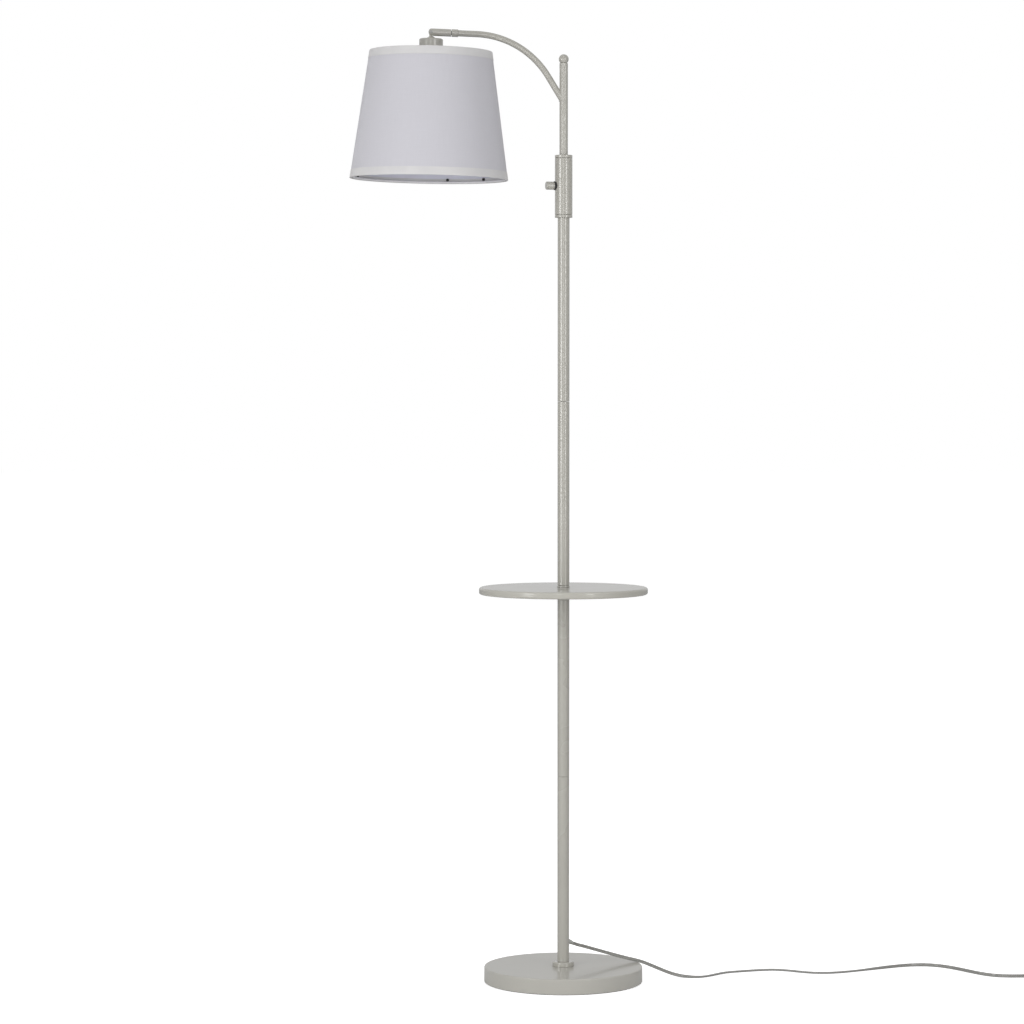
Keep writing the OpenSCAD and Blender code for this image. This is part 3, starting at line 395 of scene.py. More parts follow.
tail = []
for i in range(RELIEF_RIBS * 4 + 1):
    t = i / (RELIEF_RIBS * 4)
    sunk = 0 if i % 4 in (1, 2) else RELIEF_RIB_HIGH
    out = outlet_r + RELIEF_FLANGE_OUT + (RELIEF_LEN - RELIEF_FLANGE_OUT) * t
    tail.append((RELIEF_TAIL_R - RELIEF_TAPER * t - sunk, out, 0))
relief_profile = [
    (0, RELIEF_FROM, 0), (RELIEF_NECK_R, RELIEF_FROM, 0.3), (RELIEF_NECK_R, outlet_r - 1.6, 0),
    (RELIEF_FLANGE_R, outlet_r - 1.4, 0.2), (RELIEF_FLANGE_R, outlet_r + 2, 0.8), *tail,
    (0, outlet_r + RELIEF_LEN, 0),
]
relief = moved(turned(rounded(relief_profile), 48), facing(out_way, outlet))
piece("strain_relief", relief, moulded_pvc, "stand", ["cord_relief"], sharp=50)

# ---------- Coil tie ----------
# White plastic band, closed round one side of the coil, that holds the two layers of the lead together. It
# slides along the lead by hand.

TIE_TURN = 135
TIE_WIDE = 3.0
TIE_THICK = 0.6
TIE_CORNER = 3
TIE_ROOM_BESIDE = 0.5
TIE_ROOM_OVER = 0.1

# White plastic, smooth from the mould
white_pvc = grained("white_plastic", {"Roughness": 0.42, "IOR": 1.49}, 300.0, 4.0, ("dcdcd8", "ecebe7"),
                    bump=0.00003)

middle = TIE_THICK / 2
inner = COIL_R - COIL_PITCH * COIL_TURNS / 2 - LEAD_THIN / 2 - TIE_ROOM_BESIDE - middle
outer = COIL_R + LEAD_THIN / 2 + TIE_ROOM_BESIDE + middle
low = COIL_LOW - LEAD_WIDE / 2 - TIE_ROOM_OVER - middle
high = COIL_LOW + COIL_LAYER + LEAD_WIDE / 2 + TIE_ROOM_OVER + middle
loop_line = rounded([
    (inner, low, TIE_CORNER), (outer, low, TIE_CORNER), (outer, high, TIE_CORNER), (inner, high, TIE_CORNER),
], 6)
centre = Vector(((inner + outer) / 2, (low + high) / 2))
rings = []
for r, z in loop_line:
    away = (Vector((r, z)) - centre).normalized() * middle
    corners = ((1, -1), (1, 1), (-1, 1), (-1, -1))
    rings.append([(r + s * away.x, side * TIE_WIDE / 2, z + s * away.y) for s, side in corners])
bm = sweep(bmesh.new(), rings, closed=True)
moved(bm, Matrix.Translation((COIL_AT[0], COIL_AT[1], 0)) @ Matrix.Rotation(radians(TIE_TURN), 4, "Z"))
tie = piece("coil_tie", bm, white_pvc, "stand", ["cord_tie"])

# ---------- Plug ----------
# Flat two-blade plug moulded on the lead in the same clear PVC, with finger ribs on both sides and
# stamped brass blades, one wider than the other.

PLUG_WIDE = 23
PLUG_HIGH = 16.4
PLUG_LEN = 24
PLUG_NECK = 12
NECK_R = 3.4
NECK_FLARE = 1.4
NECK_RIB = 0.25
NECK_STEPS = 8
PLUG_SIDES = 40
# Along the body: how far, how much of the full size, and how square
PLUG_SHAPE = [
    (0.03, 0.5, 2.4), (0.08, 0.72, 2.8), (0.16, 0.86, 3.2), (0.3, 0.93, 3.8), (0.36, 0.945, 4),
    (0.38, 0.9, 4), (0.44, 0.9, 4), (0.46, 0.96, 4), (0.54, 0.965, 4), (0.56, 0.92, 4), (0.62, 0.92, 4),
    (0.64, 0.98, 4), (0.9, 1.0, 4), (0.97, 0.985, 4), (1.0, 0.94, 4),
]

plug_heading = Matrix.Translation(coil_end) @ Matrix.Rotation(atan2(coil_out.y, coil_out.x), 4, "Z")
plug_turn = plug_heading @ Matrix.Rotation(pi / 2, 4, "Y") @ Matrix.Rotation(pi, 4, "Z")
stations = []
for i in range(NECK_STEPS + 1):
    t = i / NECK_STEPS
    r = NECK_R + NECK_FLARE * t + (NECK_RIB if i % 2 else 0)
    stations.append((PLUG_NECK * t * 0.9, r, r, 2))
for t, part, square in PLUG_SHAPE:
    stations.append((PLUG_NECK - 1 + PLUG_LEN * t, PLUG_HIGH / 2 * part, PLUG_WIDE / 2 * part, square))


def bulged(reach, c, square):
    """One coordinate of a rounded rectangle, from the sine or cosine of the turn."""
    return reach * abs(c) ** (2 / square) * (1 if c > 0 else -1)


rings = []
for z, a, b, square in stations:
    turns = [2 * pi * k / PLUG_SIDES for k in range(PLUG_SIDES)]
    rings.append([(bulged(a, cos(t), square), bulged(b, sin(t), square), z) for t in turns])
bm = sweep(bmesh.new(), rings)
moved(bm, plug_turn)
plug = piece("plug", bm, moulded_pvc, "stand", ["plug_body"], sharp=60)



def dress(finish, *nodes):
    """Gives the finish to CAD solids that stay visible."""
    for node in nodes:
        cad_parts[node].data.materials[0] = finish


# Brass, stamped and tumbled: uneven in tint and gloss
brass = grained("stamped_brass", {"Metallic": 1.0}, 420.0, 5.0, ("a88a45", "cdb06a"), gloss=(0.22, 0.42))
dress(brass, "plug_blades")

# ---------- Floor, backdrop and lights ----------
# A white studio: the floor and the world are white to the camera. Tall soft strips left and right of it and
# in front draw the stripes on the tubes, and broad fills that leave no reflection light the rest.

FLOOR_REACH = 30000
FLOOR_DROP = 0.3

world = bpy.data.worlds.new("studio")
bpy.context.scene.world = world
world.use_nodes = True
tree = world.node_tree
tree.nodes.clear()
light_path = add(tree, "ShaderNodeLightPath")
# The fill is a little stronger from the lit backdrop behind the lamp
coordinates = add(tree, "ShaderNodeTexCoord")
ways = add(tree, "ShaderNodeSeparateXYZ", links={"Vector": (coordinates, "Generated")})
behind = add(tree, "ShaderNodeMapRange", {"From Min": 0.4, "From Max": 1.0, "To Min": 0.5, "To Max": 0.63},
             {"Value": (ways, "Y")})
fill = add(tree, "ShaderNodeBackground", {"Color": (1, 1, 1, 1)}, {"Strength": (behind, "Result")})
white = add(tree, "ShaderNodeBackground", {"Color": (1, 1, 1, 1), "Strength": 1.0})
seen = add(tree, "ShaderNodeMixShader", links={0: (light_path, "Is Camera Ray"), 1: (fill, 0), 2: (white, 0)})
add(tree, "ShaderNodeOutputWorld", links={"Surface": (seen, 0)})

floor_finish, tree, shader = material("studio_floor", {
    "Base Color": (0.8, 0.8, 0.8, 1), "Roughness": 0.9, "Specular IOR Level": 0.0,
    "Emission Color": (1, 1, 1, 1), "Emission Strength": 0.12,
})
# White to the camera, with only the shadows left, and a plain pale grey to everything else
light_path = add(tree, "ShaderNodeLightPath")
lift = add(tree, "ShaderNodeEmission", {"Color": (1, 1, 1, 1), "Strength": 0.48})
lit = add(tree, "ShaderNodeAddShader", links={0: (shader, 0), 1: (lift, 0)})
bounce = add(tree, "ShaderNodeBsdfDiffuse", {"Color": (0.62, 0.62, 0.62, 1)})
seen = add(tree, "ShaderNodeMixShader", links={0: (light_path, "Is Camera Ray"), 1: (bounce, 0), 2: (lit, 0)})
tree.links.new(seen.outputs[0], tree.nodes["Material Output"].inputs["Surface"])
bm = bmesh.new()
bmesh.ops.create_grid(bm, x_segments=1, y_segments=1, size=FLOOR_REACH)
moved(bm, Matrix.Scale(MM, 4) @ Matrix.Translation((0, 0, -FLOOR_DROP)))
mesh = bpy.data.meshes.new("floor")
bm.to_mesh(mesh)
bm.free()
floor = bpy.data.objects.new("floor", mesh)
floor.data.materials.append(floor_finish)
bpy.context.scene.collection.objects.link(floor)

# Name, place, aim, width, height, power, and whether it shows in reflections
for name, at, aim, wide, high, power, glossy in (
    ("strip_left", (-2.6, -2.34, 1.07), (0, 0, 1.07), 0.8, 1.3, 21, True),
    ("fill_left", (-2.6, -2.34, 2.2), (0, 0, 1.5), 0.8, 1.0, 20, False),
    ("strip_right", (2.06, -2.83, 1.57), (0, 0, 1.5), 0.58, 2.3, 18.5, True),
    ("strip_front", (-0.42, -4.0, 1.65), (0, 0, 1.6), 0.42, 2.1, 9, True),
    ("front_left", (-1.3, -4.0, 2.4), (-0.1, 0, 1.5), 2.2, 1.8, 17, False),
    ("low_front", (-0.7, -2.4, 0.4), (0, 0, 0.15), 1.2, 0.4, 11, False),
    ("fill_right", (2.5, -2.0, 1.3), (0, 0, 1.2), 0.8, 2.4, 11, False),
    ("overhead", (0.2, 0.4, 4.2), (0, 0, 0), 3.4, 3.4, 26, False),
):
    data = bpy.data.lights.new(name, "AREA")
    data.shape = "RECTANGLE"
    data.size = wide
    data.size_y = high
    data.energy = power
    light = bpy.data.objects.new(name, data)
    light.location = at
    light.rotation_euler = (Vector(aim) - Vector(at)).to_track_quat("-Z", "Y").to_euler()
    light.visible_glossy = glossy
    bpy.context.scene.collection.objects.link(light)

bpy.context.scene.view_settings.view_transform = "Standard"
bpy.context.scene.view_settings.look = "None"

# ---------- Base ----------
# Cast iron weight under a deep-drawn steel cover, sprayed with a warm light grey enamel. A felt-faced
# rubber pad closes it below, and a washer and nut on the threaded tube pull it together.

BASE_R = 127
BASE_H = 25
BASE_EDGE = 2
COVER_WALL = 1.2
COVER_LOW = 0.8
STUD_HOLE_R = 5.15
WIDE_STEPS = 192


def sprayed(name, values, tints, gloss, peel_scale, peel_height):
    """A sprayed paint: its tint and roughness drift slightly, over a fine orange peel."""
    paint, tree, shader = material(name, values)
    coordinates = add(tree, "ShaderNodeTexCoord")
    place = {"Vector": (coordinates, "Object")}
    peel = add(tree, "ShaderNodeTexNoise", {"Scale": peel_scale, "Detail": 2.0}, place)
    drift = add(tree, "ShaderNodeTexNoise", {"Scale": 8.0, "Detail": 3.0}, place)
    tint = ramp(tree, [(0.3, srgb(tints[0])), (0.7, srgb(tints[1]))], (drift, "Fac"))
    tree.links.new(tint.outputs["Color"], shader.inputs["Base Color"])
    rough = ramp(tree, [(0.3, (*[gloss[0]] * 3, 1)), (0.7, (*[gloss[1]] * 3, 1))], (drift, "Fac"))
    tree.links.new(rough.outputs["Color"], shader.inputs["Roughness"])
    join_bump(tree, shader, (peel, "Fac"), peel_height)
    return paint


# Warm light grey enamel on steel: a smooth sprayed coat with a slight orange peel and an even gloss
enamel = sprayed("grey_enamel", {
    "IOR": 1.5, "Specular IOR Level": 0.7, "Coat Weight": 1.0, "Coat IOR": 1.6, "Coat Roughness": 0.21,
}, ("9f9d95", "a4a29a"), (0.24, 0.3), 620.0, 0.000002)
# The base's coat is thicker and flatter than the tubes'
base_enamel = sprayed("grey_base_enamel", {
    "IOR": 1.5, "Coat Weight": 0.55, "Coat IOR": 1.55, "Coat Roughness": 0.1,
}, ("a8a69f", "acaaa3"), (0.28, 0.34), 520.0, 0.000002)

cover_profile = rounded([
    (STUD_HOLE_R, BASE_H, 0.2), (BASE_R, BASE_H, BASE_EDGE), (BASE_R, COVER_LOW, 0.4),
    (BASE_R - COVER_WALL, COVER_LOW, 0.2), (BASE_R - COVER_WALL, BASE_H - COVER_WALL, BASE_EDGE - COVER_WALL),
    (STUD_HOLE_R, BASE_H - COVER_WALL, 0.1),
], 8)
piece("base_cover_turned", turned(cover_profile, WIDE_STEPS), base_enamel, "stand", ["base_cover"])

# Black rubber with a felt-like face
rubber = grained("black_rubber", {"Roughness": 0.75, "IOR": 1.52, "Sheen Weight": 0.15}, 900.0, 4.0,
                 ("161616", "2a2a2a"), bump=0.00012)
dress(rubber, "base_pad", "clamp_washer", "friction_washers")

# Sand-cast iron, unpainted
cast_iron = grained("cast_iron", {"Roughness": 0.7, "Metallic": 0.8}, 340.0, 6.0, ("3d3a37", "5d5955"),
                    bump=0.0004)
dress(cast_iron, "base_weight")

# Zinc-plated steel: dull, with a faint spangle
zinc, tree, shader = material("zinc_plate", {"Metallic": 1.0})
coordinates = add(tree, "ShaderNodeTexCoord")
spangle = add(tree, "ShaderNodeTexVoronoi", {"Scale": 420.0}, {"Vector": (coordinates, "Object")})
spangle_tint = ramp(tree, [(0.0, srgb("8e8e8c")), (1.0, srgb("b6b6b3"))], (spangle, "Distance"))
tree.links.new(spangle_tint.outputs["Color"], shader.inputs["Base Color"])
spangle_rough = ramp(tree, [(0.0, (0.32, 0.32, 0.32, 1)), (1.0, (0.5, 0.5, 0.5, 1))], (spangle, "Distance"))
tree.links.new(spangle_rough.outputs["Color"], shader.inputs["Roughness"])
dress(zinc, "base_washer", "base_nut", "base_stud", "pole_inserts", "pole_joiners", "table_stud",
      "clamp_block", "stem_clips", "tilt_screw", "clamp_screw")

# Steel with a black oxide finish, lightly oiled. Its black also paints the shade in the narrow gap between the
# arm's collar and the swivel barrel.
black_oxide_gap_shade = grained("black_oxide_gap_shade", {"Metallic": 0.6}, 540.0, 3.0, ("202124", "2e2f31"), gloss=(0.38, 0.52))
dress(black_oxide_gap_shade, "swivel_stud", "swivel_washer")
dress(moulded_pvc, "pole_lead", "stem_lead")
dress(white_pvc, "stem_guide")

# ---------- Pole ----------
# Four drawn steel tubes, 19 mm across, each with its ends faced and broken so that a fine line shows at
# each seam. A turned ring covers the hole in the base.

FOOT_Z = 32.3
SEAM_1 = 330.5
TABLE_RING_Z = 617.1
SECTION_3_Z = 637.3
SEAM_2 = 931.3
POLE_TOP = 1240.0
POLE_BORE_R = 8.5
SEAM_BREAK = 0.35
SEAM_GAP = 0.2
LARGE_RING_R = 17.5


def tube_profile(r_in, r_out, z0, z1, c):
    """A tube's profile with its outer edges broken by c."""
    return [(r_in, z0), (r_out - c, z0), (r_out - c * 0.3, z0 + c * 0.3), (r_out, z0 + c),
            (r_out, z1 - c), (r_out - c * 0.3, z1 - c * 0.3), (r_out - c, z1), (r_in, z1)]


def ring_profile(r_in, r_out, z0, z1, low_round, high_round):
    """A ring's profile with its two outer edges rounded."""
    return rounded([(r_in, z0, 0), (r_out, z0, low_round), (r_out, z1, high_round), (r_in, z1, 0)], 8)


foot_ring = ring_profile(STUD_HOLE_R, LARGE_RING_R, BASE_H, FOOT_Z, 0.6, 2.1)
piece("foot_ring_turned", turned(foot_ring), enamel, "stand", ["foot_ring"])
for name, z0, z1 in (("pole_section_2", SEAM_1, TABLE_RING_Z), ("pole_section_3", SECTION_3_Z, SEAM_2),
                     ("pole_section_4", SEAM_2, POLE_TOP)):
    tube = tube_profile(POLE_BORE_R, POLE_R, z0 + SEAM_GAP, z1 - SEAM_GAP, SEAM_BREAK)
    piece(name + "_drawn", turned(tube), enamel, "stand", [name])
dress(enamel, "pole_section_1")

# ---------- Table ----------
# Round fibreboard top with a lacquered, rounded edge, clamped between two turned rings on the tube that
# joins the pole's sections.

TABLE_R = 135
TABLE_LOW = 623.1
TABLE_TOP = 634.2
TABLE_EDGE = 3.2
UPPER_RING_R = 10.1
RING_STEP = 1
RING_STEP_HIGH = 0.3

# The same grey as a sprayed lacquer on fibreboard: a flatter body under a clear, well levelled coat
lacquer = sprayed("grey_lacquer", {
    "IOR": 1.5, "Coat Weight": 0.8, "Coat IOR": 1.55, "Coat Roughness": 0.05,
}, ("a8a69e", "acaaa2"), (0.31, 0.4), 380.0, 0.000003)

lower_ring = ring_profile(STUD_HOLE_R, LARGE_RING_R, TABLE_RING_Z, TABLE_LOW, 1.5, 0.6)
piece("table_ring_lower_turned", turned(lower_ring), enamel, "stand", ["table_ring_lower"])
board = ring_profile(STUD_HOLE_R, TABLE_R, TABLE_LOW, TABLE_TOP, TABLE_EDGE, TABLE_EDGE)
piece("table_top_board", turned(board, WIDE_STEPS), lacquer, "stand", ["table_top"])
step_z = TABLE_TOP + RING_STEP_HIGH
upper_ring = rounded([
    (STUD_HOLE_R, TABLE_TOP, 0), (UPPER_RING_R - RING_STEP, TABLE_TOP, 0),
    (UPPER_RING_R - RING_STEP, step_z, 0), (UPPER_RING_R, step_z, 0.3), (UPPER_RING_R, SECTION_3_Z, 1.8),
    (STUD_HOLE_R, SECTION_3_Z, 0),
], 8)
piece("table_ring_upper_turned", turned(upper_ring), enamel, "stand", ["table_ring_upper"])

# ---------- Sleeve ----------
# Steel tube with a turned cap pressed into each end. The lower cap sits on the pole's top, and the stem
# slides through the upper one.

SLEEVE_Z = 1224.0
SLEEVE_BODY_Z = 1228.2
UPPER_CAP_Z = 1318.8
SLEEVE_TOP = 1323.4
SLEEVE_R = 14
SLEEVE_BORE_R = 12
STEM_R = 6.75
STEM_FIT = 0.05
STEM_ROOM = 0.3
CAP_GAP = 0.5
CAP_LEDGE = 3
CAP_SPIGOT = 12
CLAMP_Z = SLEEVE_Z + 50.6
CLAMP_TURN = 15
SCREW_HOLE_R = 3.4

ledge_top = POLE_TOP + CAP_LEDGE
lower = [
    (POLE_R, SLEEVE_Z, 0.3), (SLEEVE_R, SLEEVE_Z, 0.7), (SLEEVE_R, SLEEVE_BODY_Z, 0.7),
    (SLEEVE_BORE_R, SLEEVE_BODY_Z, 0), (SLEEVE_BORE_R, ledge_top, 0.2), (STEM_R + STEM_ROOM, ledge_top, 0.2),
    (STEM_R + STEM_ROOM, POLE_TOP, 0), (POLE_R, POLE_TOP, 0),
]
piece("sleeve_cap_lower_turned", turned(rounded(lower)), enamel, "stand", ["sleeve_cap_lower"])
upper = [
    (STEM_R + STEM_FIT, UPPER_CAP_Z - CAP_SPIGOT, 0), (SLEEVE_BORE_R, UPPER_CAP_Z - CAP_SPIGOT, 0.3),
    (SLEEVE_BORE_R, UPPER_CAP_Z, 0), (SLEEVE_R, UPPER_CAP_Z, 0.7), (SLEEVE_R, SLEEVE_TOP, 0.8),
    (STEM_R + STEM_FIT, SLEEVE_TOP, 0.3),
]
piece("sleeve_cap_upper_turned", turned(rounded(upper)), enamel, "stand", ["sleeve_cap_upper"])
low, high = SLEEVE_BODY_Z + CAP_GAP, UPPER_CAP_Z - CAP_GAP
body = [(SLEEVE_BORE_R, low, 0), (SLEEVE_R, low, 0.4), (SLEEVE_R, high, 0.4), (SLEEVE_BORE_R, high, 0)]
clamp_way = Vector((-cos(radians(CLAMP_TURN)), -sin(radians(CLAMP_TURN)), 0))


def drilled(bm, drill):
    """Cuts one mesh out of another."""
    blanks = []
    for source in (bm, drill):
        mesh = bpy.data.meshes.new("blank")
        source.to_mesh(mesh)
        source.free()
        blanks.append(bpy.data.objects.new("blank", mesh))
        bpy.context.scene.collection.objects.link(blanks[-1])
    cut = blanks[0].modifiers.new("hole", "BOOLEAN")
    cut.operation = "DIFFERENCE"
    cut.object = blanks[1]
    result = bmesh.new()
    result.from_object(blanks[0], bpy.context.evaluated_depsgraph_get())
    for blank in blanks:
        mesh = blank.data
        bpy.data.objects.remove(blank)
        bpy.data.meshes.remove(mesh)
    return result


# The clamp's screw comes through a hole in the tube
drill = turned([(0, 0), (SCREW_HOLE_R, 0), (SCREW_HOLE_R, 2 * SLEEVE_R), (0, 2 * SLEEVE_R)], 48)
sleeve = drilled(turned(rounded(body)), moved(drill, facing(clamp_way, (0, 0, CLAMP_Z))))
piece("sleeve_body_drawn", sleeve, enamel, "stand", ["sleeve_body"])

# ---------- Clamp knob ----------
# Turned and enamelled knob on a steel screw that presses on the stem, with a black rubber washer
# against the sleeve.

KNOB_R = 6.5
KNOB_FOOT = 16.3
KNOB_LEN = 13
KNOB_BORE_R = 3
KNOB_BORE_LEN = 8
GROOVE_AT = 2
GROOVE_IN = 0.5
SMALL_STEPS = 72

knob = rounded([
    (KNOB_BORE_R, 0, 0), (KNOB_R, 0, 0.4), (KNOB_R, GROOVE_AT - 0.4, 0.2),
    (KNOB_R - GROOVE_IN, GROOVE_AT - 0.2, 0), (KNOB_R - GROOVE_IN, GROOVE_AT + 0.2, 0),
    (KNOB_R, GROOVE_AT + 0.4, 0.2), (KNOB_R, KNOB_LEN, 1.2),
    (0, KNOB_LEN, 0), (0, KNOB_BORE_LEN, 0), (KNOB_BORE_R, KNOB_BORE_LEN, 0),
], 6)
knob_place = facing(clamp_way, (0, 0, CLAMP_Z)) @ Matrix.Translation((0, 0, KNOB_FOOT))
knob_turned = moved(turned(knob, SMALL_STEPS), knob_place)
piece("clamp_knob_turned", knob_turned, enamel, "clamp_knob_body", ["clamp_knob"])

# ---------- Stem and arm ----------
# Thin steel tube that slides in the sleeve, closed by a ball, with the bent arm tube welded to its side
# and a turned collar at the arm's end.

STEM_BORE_R = 5.75
STEM_TOP = 1469.1
STEM_FOOT = 1094.4
BALL_R = 7.9
BALL_UP = 6.3
BALL_STEPS = 32
PLUG_IN = 8
WELD_Z = 1407.2
ARM_R = 5
ARM_RISE = 58.8
ARM_FOOT_LEN = 47.5
ARM_BEND_R = 140
ARM_TIP_RISE = 2.5
ARM_TIP_LEN = 40
ARM_STEPS = 40
BEAD_R = 0.9
BEAD_WAVE = 0.12
BEAD_WAVES = 12
BEAD_STEPS = 72
COLLAR_R = 6.1
COLLAR_LEN = 10.3
COLLAR_BORE_R = 3.25
COLLAR_END_T = 4.3

stem = tube_profile(STEM_BORE_R, STEM_R, STEM_FOOT, STEM_TOP, 0.3)
piece("stem_drawn", turned(stem), enamel, "arm", ["stem_tube"])
ball_from = STEM_TOP + BALL_UP
sink = sqrt(BALL_R ** 2 - BALL_UP ** 2)
ball = [(0, STEM_TOP - PLUG_IN), (STEM_BORE_R, STEM_TOP - PLUG_IN), (STEM_BORE_R, STEM_TOP)]
low_angle = atan2(-BALL_UP, sink)
for k in range(BALL_STEPS):
    a = low_angle + (pi / 2 - low_angle) * k / BALL_STEPS
    ball.append((BALL_R * cos(a), ball_from + BALL_R * sin(a)))
ball.append((0, ball_from + BALL_R))
piece("stem_ball", turned(ball), enamel, "arm", ["stem_finial"])

rise, tip_rise = radians(ARM_RISE), radians(ARM_TIP_RISE)
bend_at = Vector((-ARM_FOOT_LEN * cos(rise), 0, WELD_Z + ARM_FOOT_LEN * sin(rise)))
bend_mid = bend_at - ARM_BEND_R * Vector((sin(rise), 0, cos(rise)))
tip_at = bend_mid + ARM_BEND_R * Vector((sin(tip_rise), 0, cos(tip_rise)))
tip_way = Vector((-cos(tip_rise), 0, sin(tip_rise)))
arm_end = tip_at + ARM_TIP_LEN * tip_way
foot_way = Vector((-cos(rise), 0, sin(rise)))
foot_up = Vector((sin(rise), 0, cos(rise)))
weld_at = Vector((0, 0, WELD_Z))
arm_line = [weld_at + d * foot_way for d in (6.0, 11.5, 20, 30, 40)]
for k in range(ARM_STEPS + 1):
    a = rise + (tip_rise - rise) * k / ARM_STEPS
    arm_line.append(bend_mid + ARM_BEND_R * Vector((sin(a), 0, cos(a))))
arm_line += [tip_at + d * tip_way for d in (15, ARM_TIP_LEN - COLLAR_LEN + 6)]


def hoop(at, radius, side, up, count):
    """A ring of points round a point."""
    turns = [2 * pi * k / count for k in range(count)]
    return [at + radius * (side * cos(t) + up * sin(t)) for t in turns]


rings = []
for i, at in enumerate(arm_line):
    along = (arm_line[min(len(arm_line) - 1, i + 1)] - arm_line[max(0, i - 1)]).normalized()
    side = Vector((0, 1, 0))
    rings.append(hoop(at, ARM_R, side, along.cross(side), 48))
piece("arm_bent", sweep(bmesh.new(), rings), enamel, "arm", ["arm_tube"], sharp=50)

# Weld bead round the arm's foot, under the enamel
bead = []
for spot in hoop(weld_at, ARM_R, Vector((0, 1, 0)), foot_up, BEAD_STEPS):
    to_stem = (sqrt(STEM_R ** 2 - spot.y ** 2) - abs(spot.x) * (1 if spot.x < 0 else -1)) / cos(rise)
    bead.append(spot + foot_way * to_stem)
rings = []
for k, at in enumerate(bead):
    along = (bead[(k + 1) % BEAD_STEPS] - bead[k - 1]).normalized()
    outward = Vector((at.x, at.y, 0)).normalized()
    thick = BEAD_R * (1 + BEAD_WAVE * sin(2 * pi * k * BEAD_WAVES / BEAD_STEPS))
    rings.append(hoop(at, thick, outward, along.cross(outward).normalized(), 10))
piece("arm_weld", sweep(bmesh.new(), rings, closed=True), enamel, "arm", (), sharp=80)

collar = rounded([
    (COLLAR_BORE_R, -COLLAR_END_T, 0), (COLLAR_BORE_R, 0, 0.1), (COLLAR_R, 0, 0.5),
    (COLLAR_R, -COLLAR_LEN, 0.6), (ARM_R, -COLLAR_LEN, 0), (ARM_R, -COLLAR_END_T, 0),
])
collar_turned = moved(turned(collar, SMALL_STEPS), facing(tip_way, arm_end))
piece("arm_collar_turned", collar_turned, enamel, "arm", ["arm_collar"])

# ---------- Swivel and knuckle ----------
# Turned barrel that rolls on a hollow stud in the arm's end; its nose is slotted for the tongue of the
# shade's knuckle, which a slotted screw pinches between fibre washers.

BARREL_R = 5.9
BARREL_BORE_R = 4.7
SWIVEL_GAP = 0.7
SWIVEL_HOLE_R = 3.3
BARREL_FLOOR = 9
FORK_AT = 26

barrel = rounded([
    (SWIVEL_HOLE_R, SWIVEL_GAP, 0), (BARREL_R, SWIVEL_GAP, 0.5), (BARREL_R, FORK_AT, 0.15),
    (BARREL_BORE_R, FORK_AT, 0), (BARREL_BORE_R, BARREL_FLOOR, 0), (SWIVEL_HOLE_R, BARREL_FLOOR, 0),
])
barrel_turned = moved(turned(barrel, SMALL_STEPS), facing(tip_way, arm_end))
piece("swivel_barrel_turned", barrel_turned, enamel, "swivel", ["swivel_barrel"])
dress(enamel, "knuckle_fork", "knuckle_tongue")

# ---------- Lampholder ----------
# Spun steel cup over a moulded phenolic holder with a brass screw shell. A threaded ring below holds the
# shade's fitter, and a small key at the side turns the lamp on.

TILT_AT = 32.5
HEAD_LEAN = 1
CUP_DROP = 10.4
CUP_R = 19
CUP_RIM = 48.6
CUP_WALL = 1
CUP_EDGE = 2.6
SOCKET_END = 62.6
KEY_DROP = 32.6
KEY_TURN = 20
KEY_FROM = 9
KEY_SHAFT_R = 1.5
KEY_KNOB_FROM = 21
KEY_KNOB_R = 4.5
KEY_END = 33
KEY_FLUTES = 16
KEY_FLUTE_IN = 0.35

pivot = arm_end + TILT_AT * tip_way
lean = Matrix.Rotation(radians(HEAD_LEAN), 4, "Y")
to_head = Matrix.Translation(pivot) @ lean @ Matrix.Diagonal((1, 1, -1, 1))


def head_piece(name, bm, finish, nodes=(), sharp=32):
    """A piece of the head, given with its depths below the tilt axis as heights."""
    return piece(name, moved(bm, to_head), finish, "head", nodes, sharp)


cup = rounded([(STUD_HOLE_R, CUP_DROP, 0), (CUP_R, CUP_DROP, CUP_EDGE), (CUP_R, CUP_RIM, 0.3),
               (CUP_R - CUP_WALL, CUP_RIM, 0.2), (CUP_R - CUP_WALL, CUP_DROP + CUP_WALL, CUP_EDGE - 0.6),
               (STUD_HOLE_R, CUP_DROP + CUP_WALL, 0)], 8)
head_piece("socket_cup_spun", turned(cup), enamel, ["socket_cup"])

# Dark phenolic moulding with a dull gloss
phenolic = grained("phenolic", {"Roughness": 0.3, "IOR": 1.6}, 700.0, 5.0, ("1b1714", "302923"), bump=0.00003)
dress(phenolic, "socket_body", "socket_ring")
dress(brass, "socket_shell", "socket_contact")

# Switch key: a fluted knob on a thin shaft
bm = turned(rounded([
    (0, KEY_FROM, 0), (KEY_SHAFT_R, KEY_FROM, 0.2), (KEY_SHAFT_R, KEY_KNOB_FROM, 0),
    (KEY_KNOB_R - 0.9, KEY_KNOB_FROM, 0.4), (KEY_KNOB_R, KEY_KNOB_FROM + 1.5, 0.4),
    (KEY_KNOB_R, KEY_END - 0.6, 1.0), (0, KEY_END, 0),
]))
for vert in bm.verts:
    reach = sqrt(vert.co.x ** 2 + vert.co.y ** 2)
    if reach > KEY_KNOB_R - 0.5 and KEY_KNOB_FROM + 1 < vert.co.z < KEY_END - 1:
        dip = KEY_FLUTE_IN * (0.5 + 0.5 * cos(KEY_FLUTES * atan2(vert.co.y, vert.co.x)))
        vert.co.x *= 1 - dip / reach
        vert.co.y *= 1 - dip / reach
key_turn = Matrix.Rotation(radians(-KEY_TURN), 4, "Z") @ Matrix.Rotation(pi / 2, 4, "X")
moved(bm, to_head @ Matrix.Translation((0, 0, KEY_DROP)) @ key_turn)
piece("switch_key_fluted", bm, phenolic, "switch_key_body", ["switch_key"])

# ---------- Bulb ----------
# Usual pear-shaped lamp: a white-coated glass envelope on a brass screw cap.

BULB_R = 30
BULB_LEN = 82
BULB_NECK_R = 11.8
BULB_NECK_IN = 4
BULB_STEPS = 32

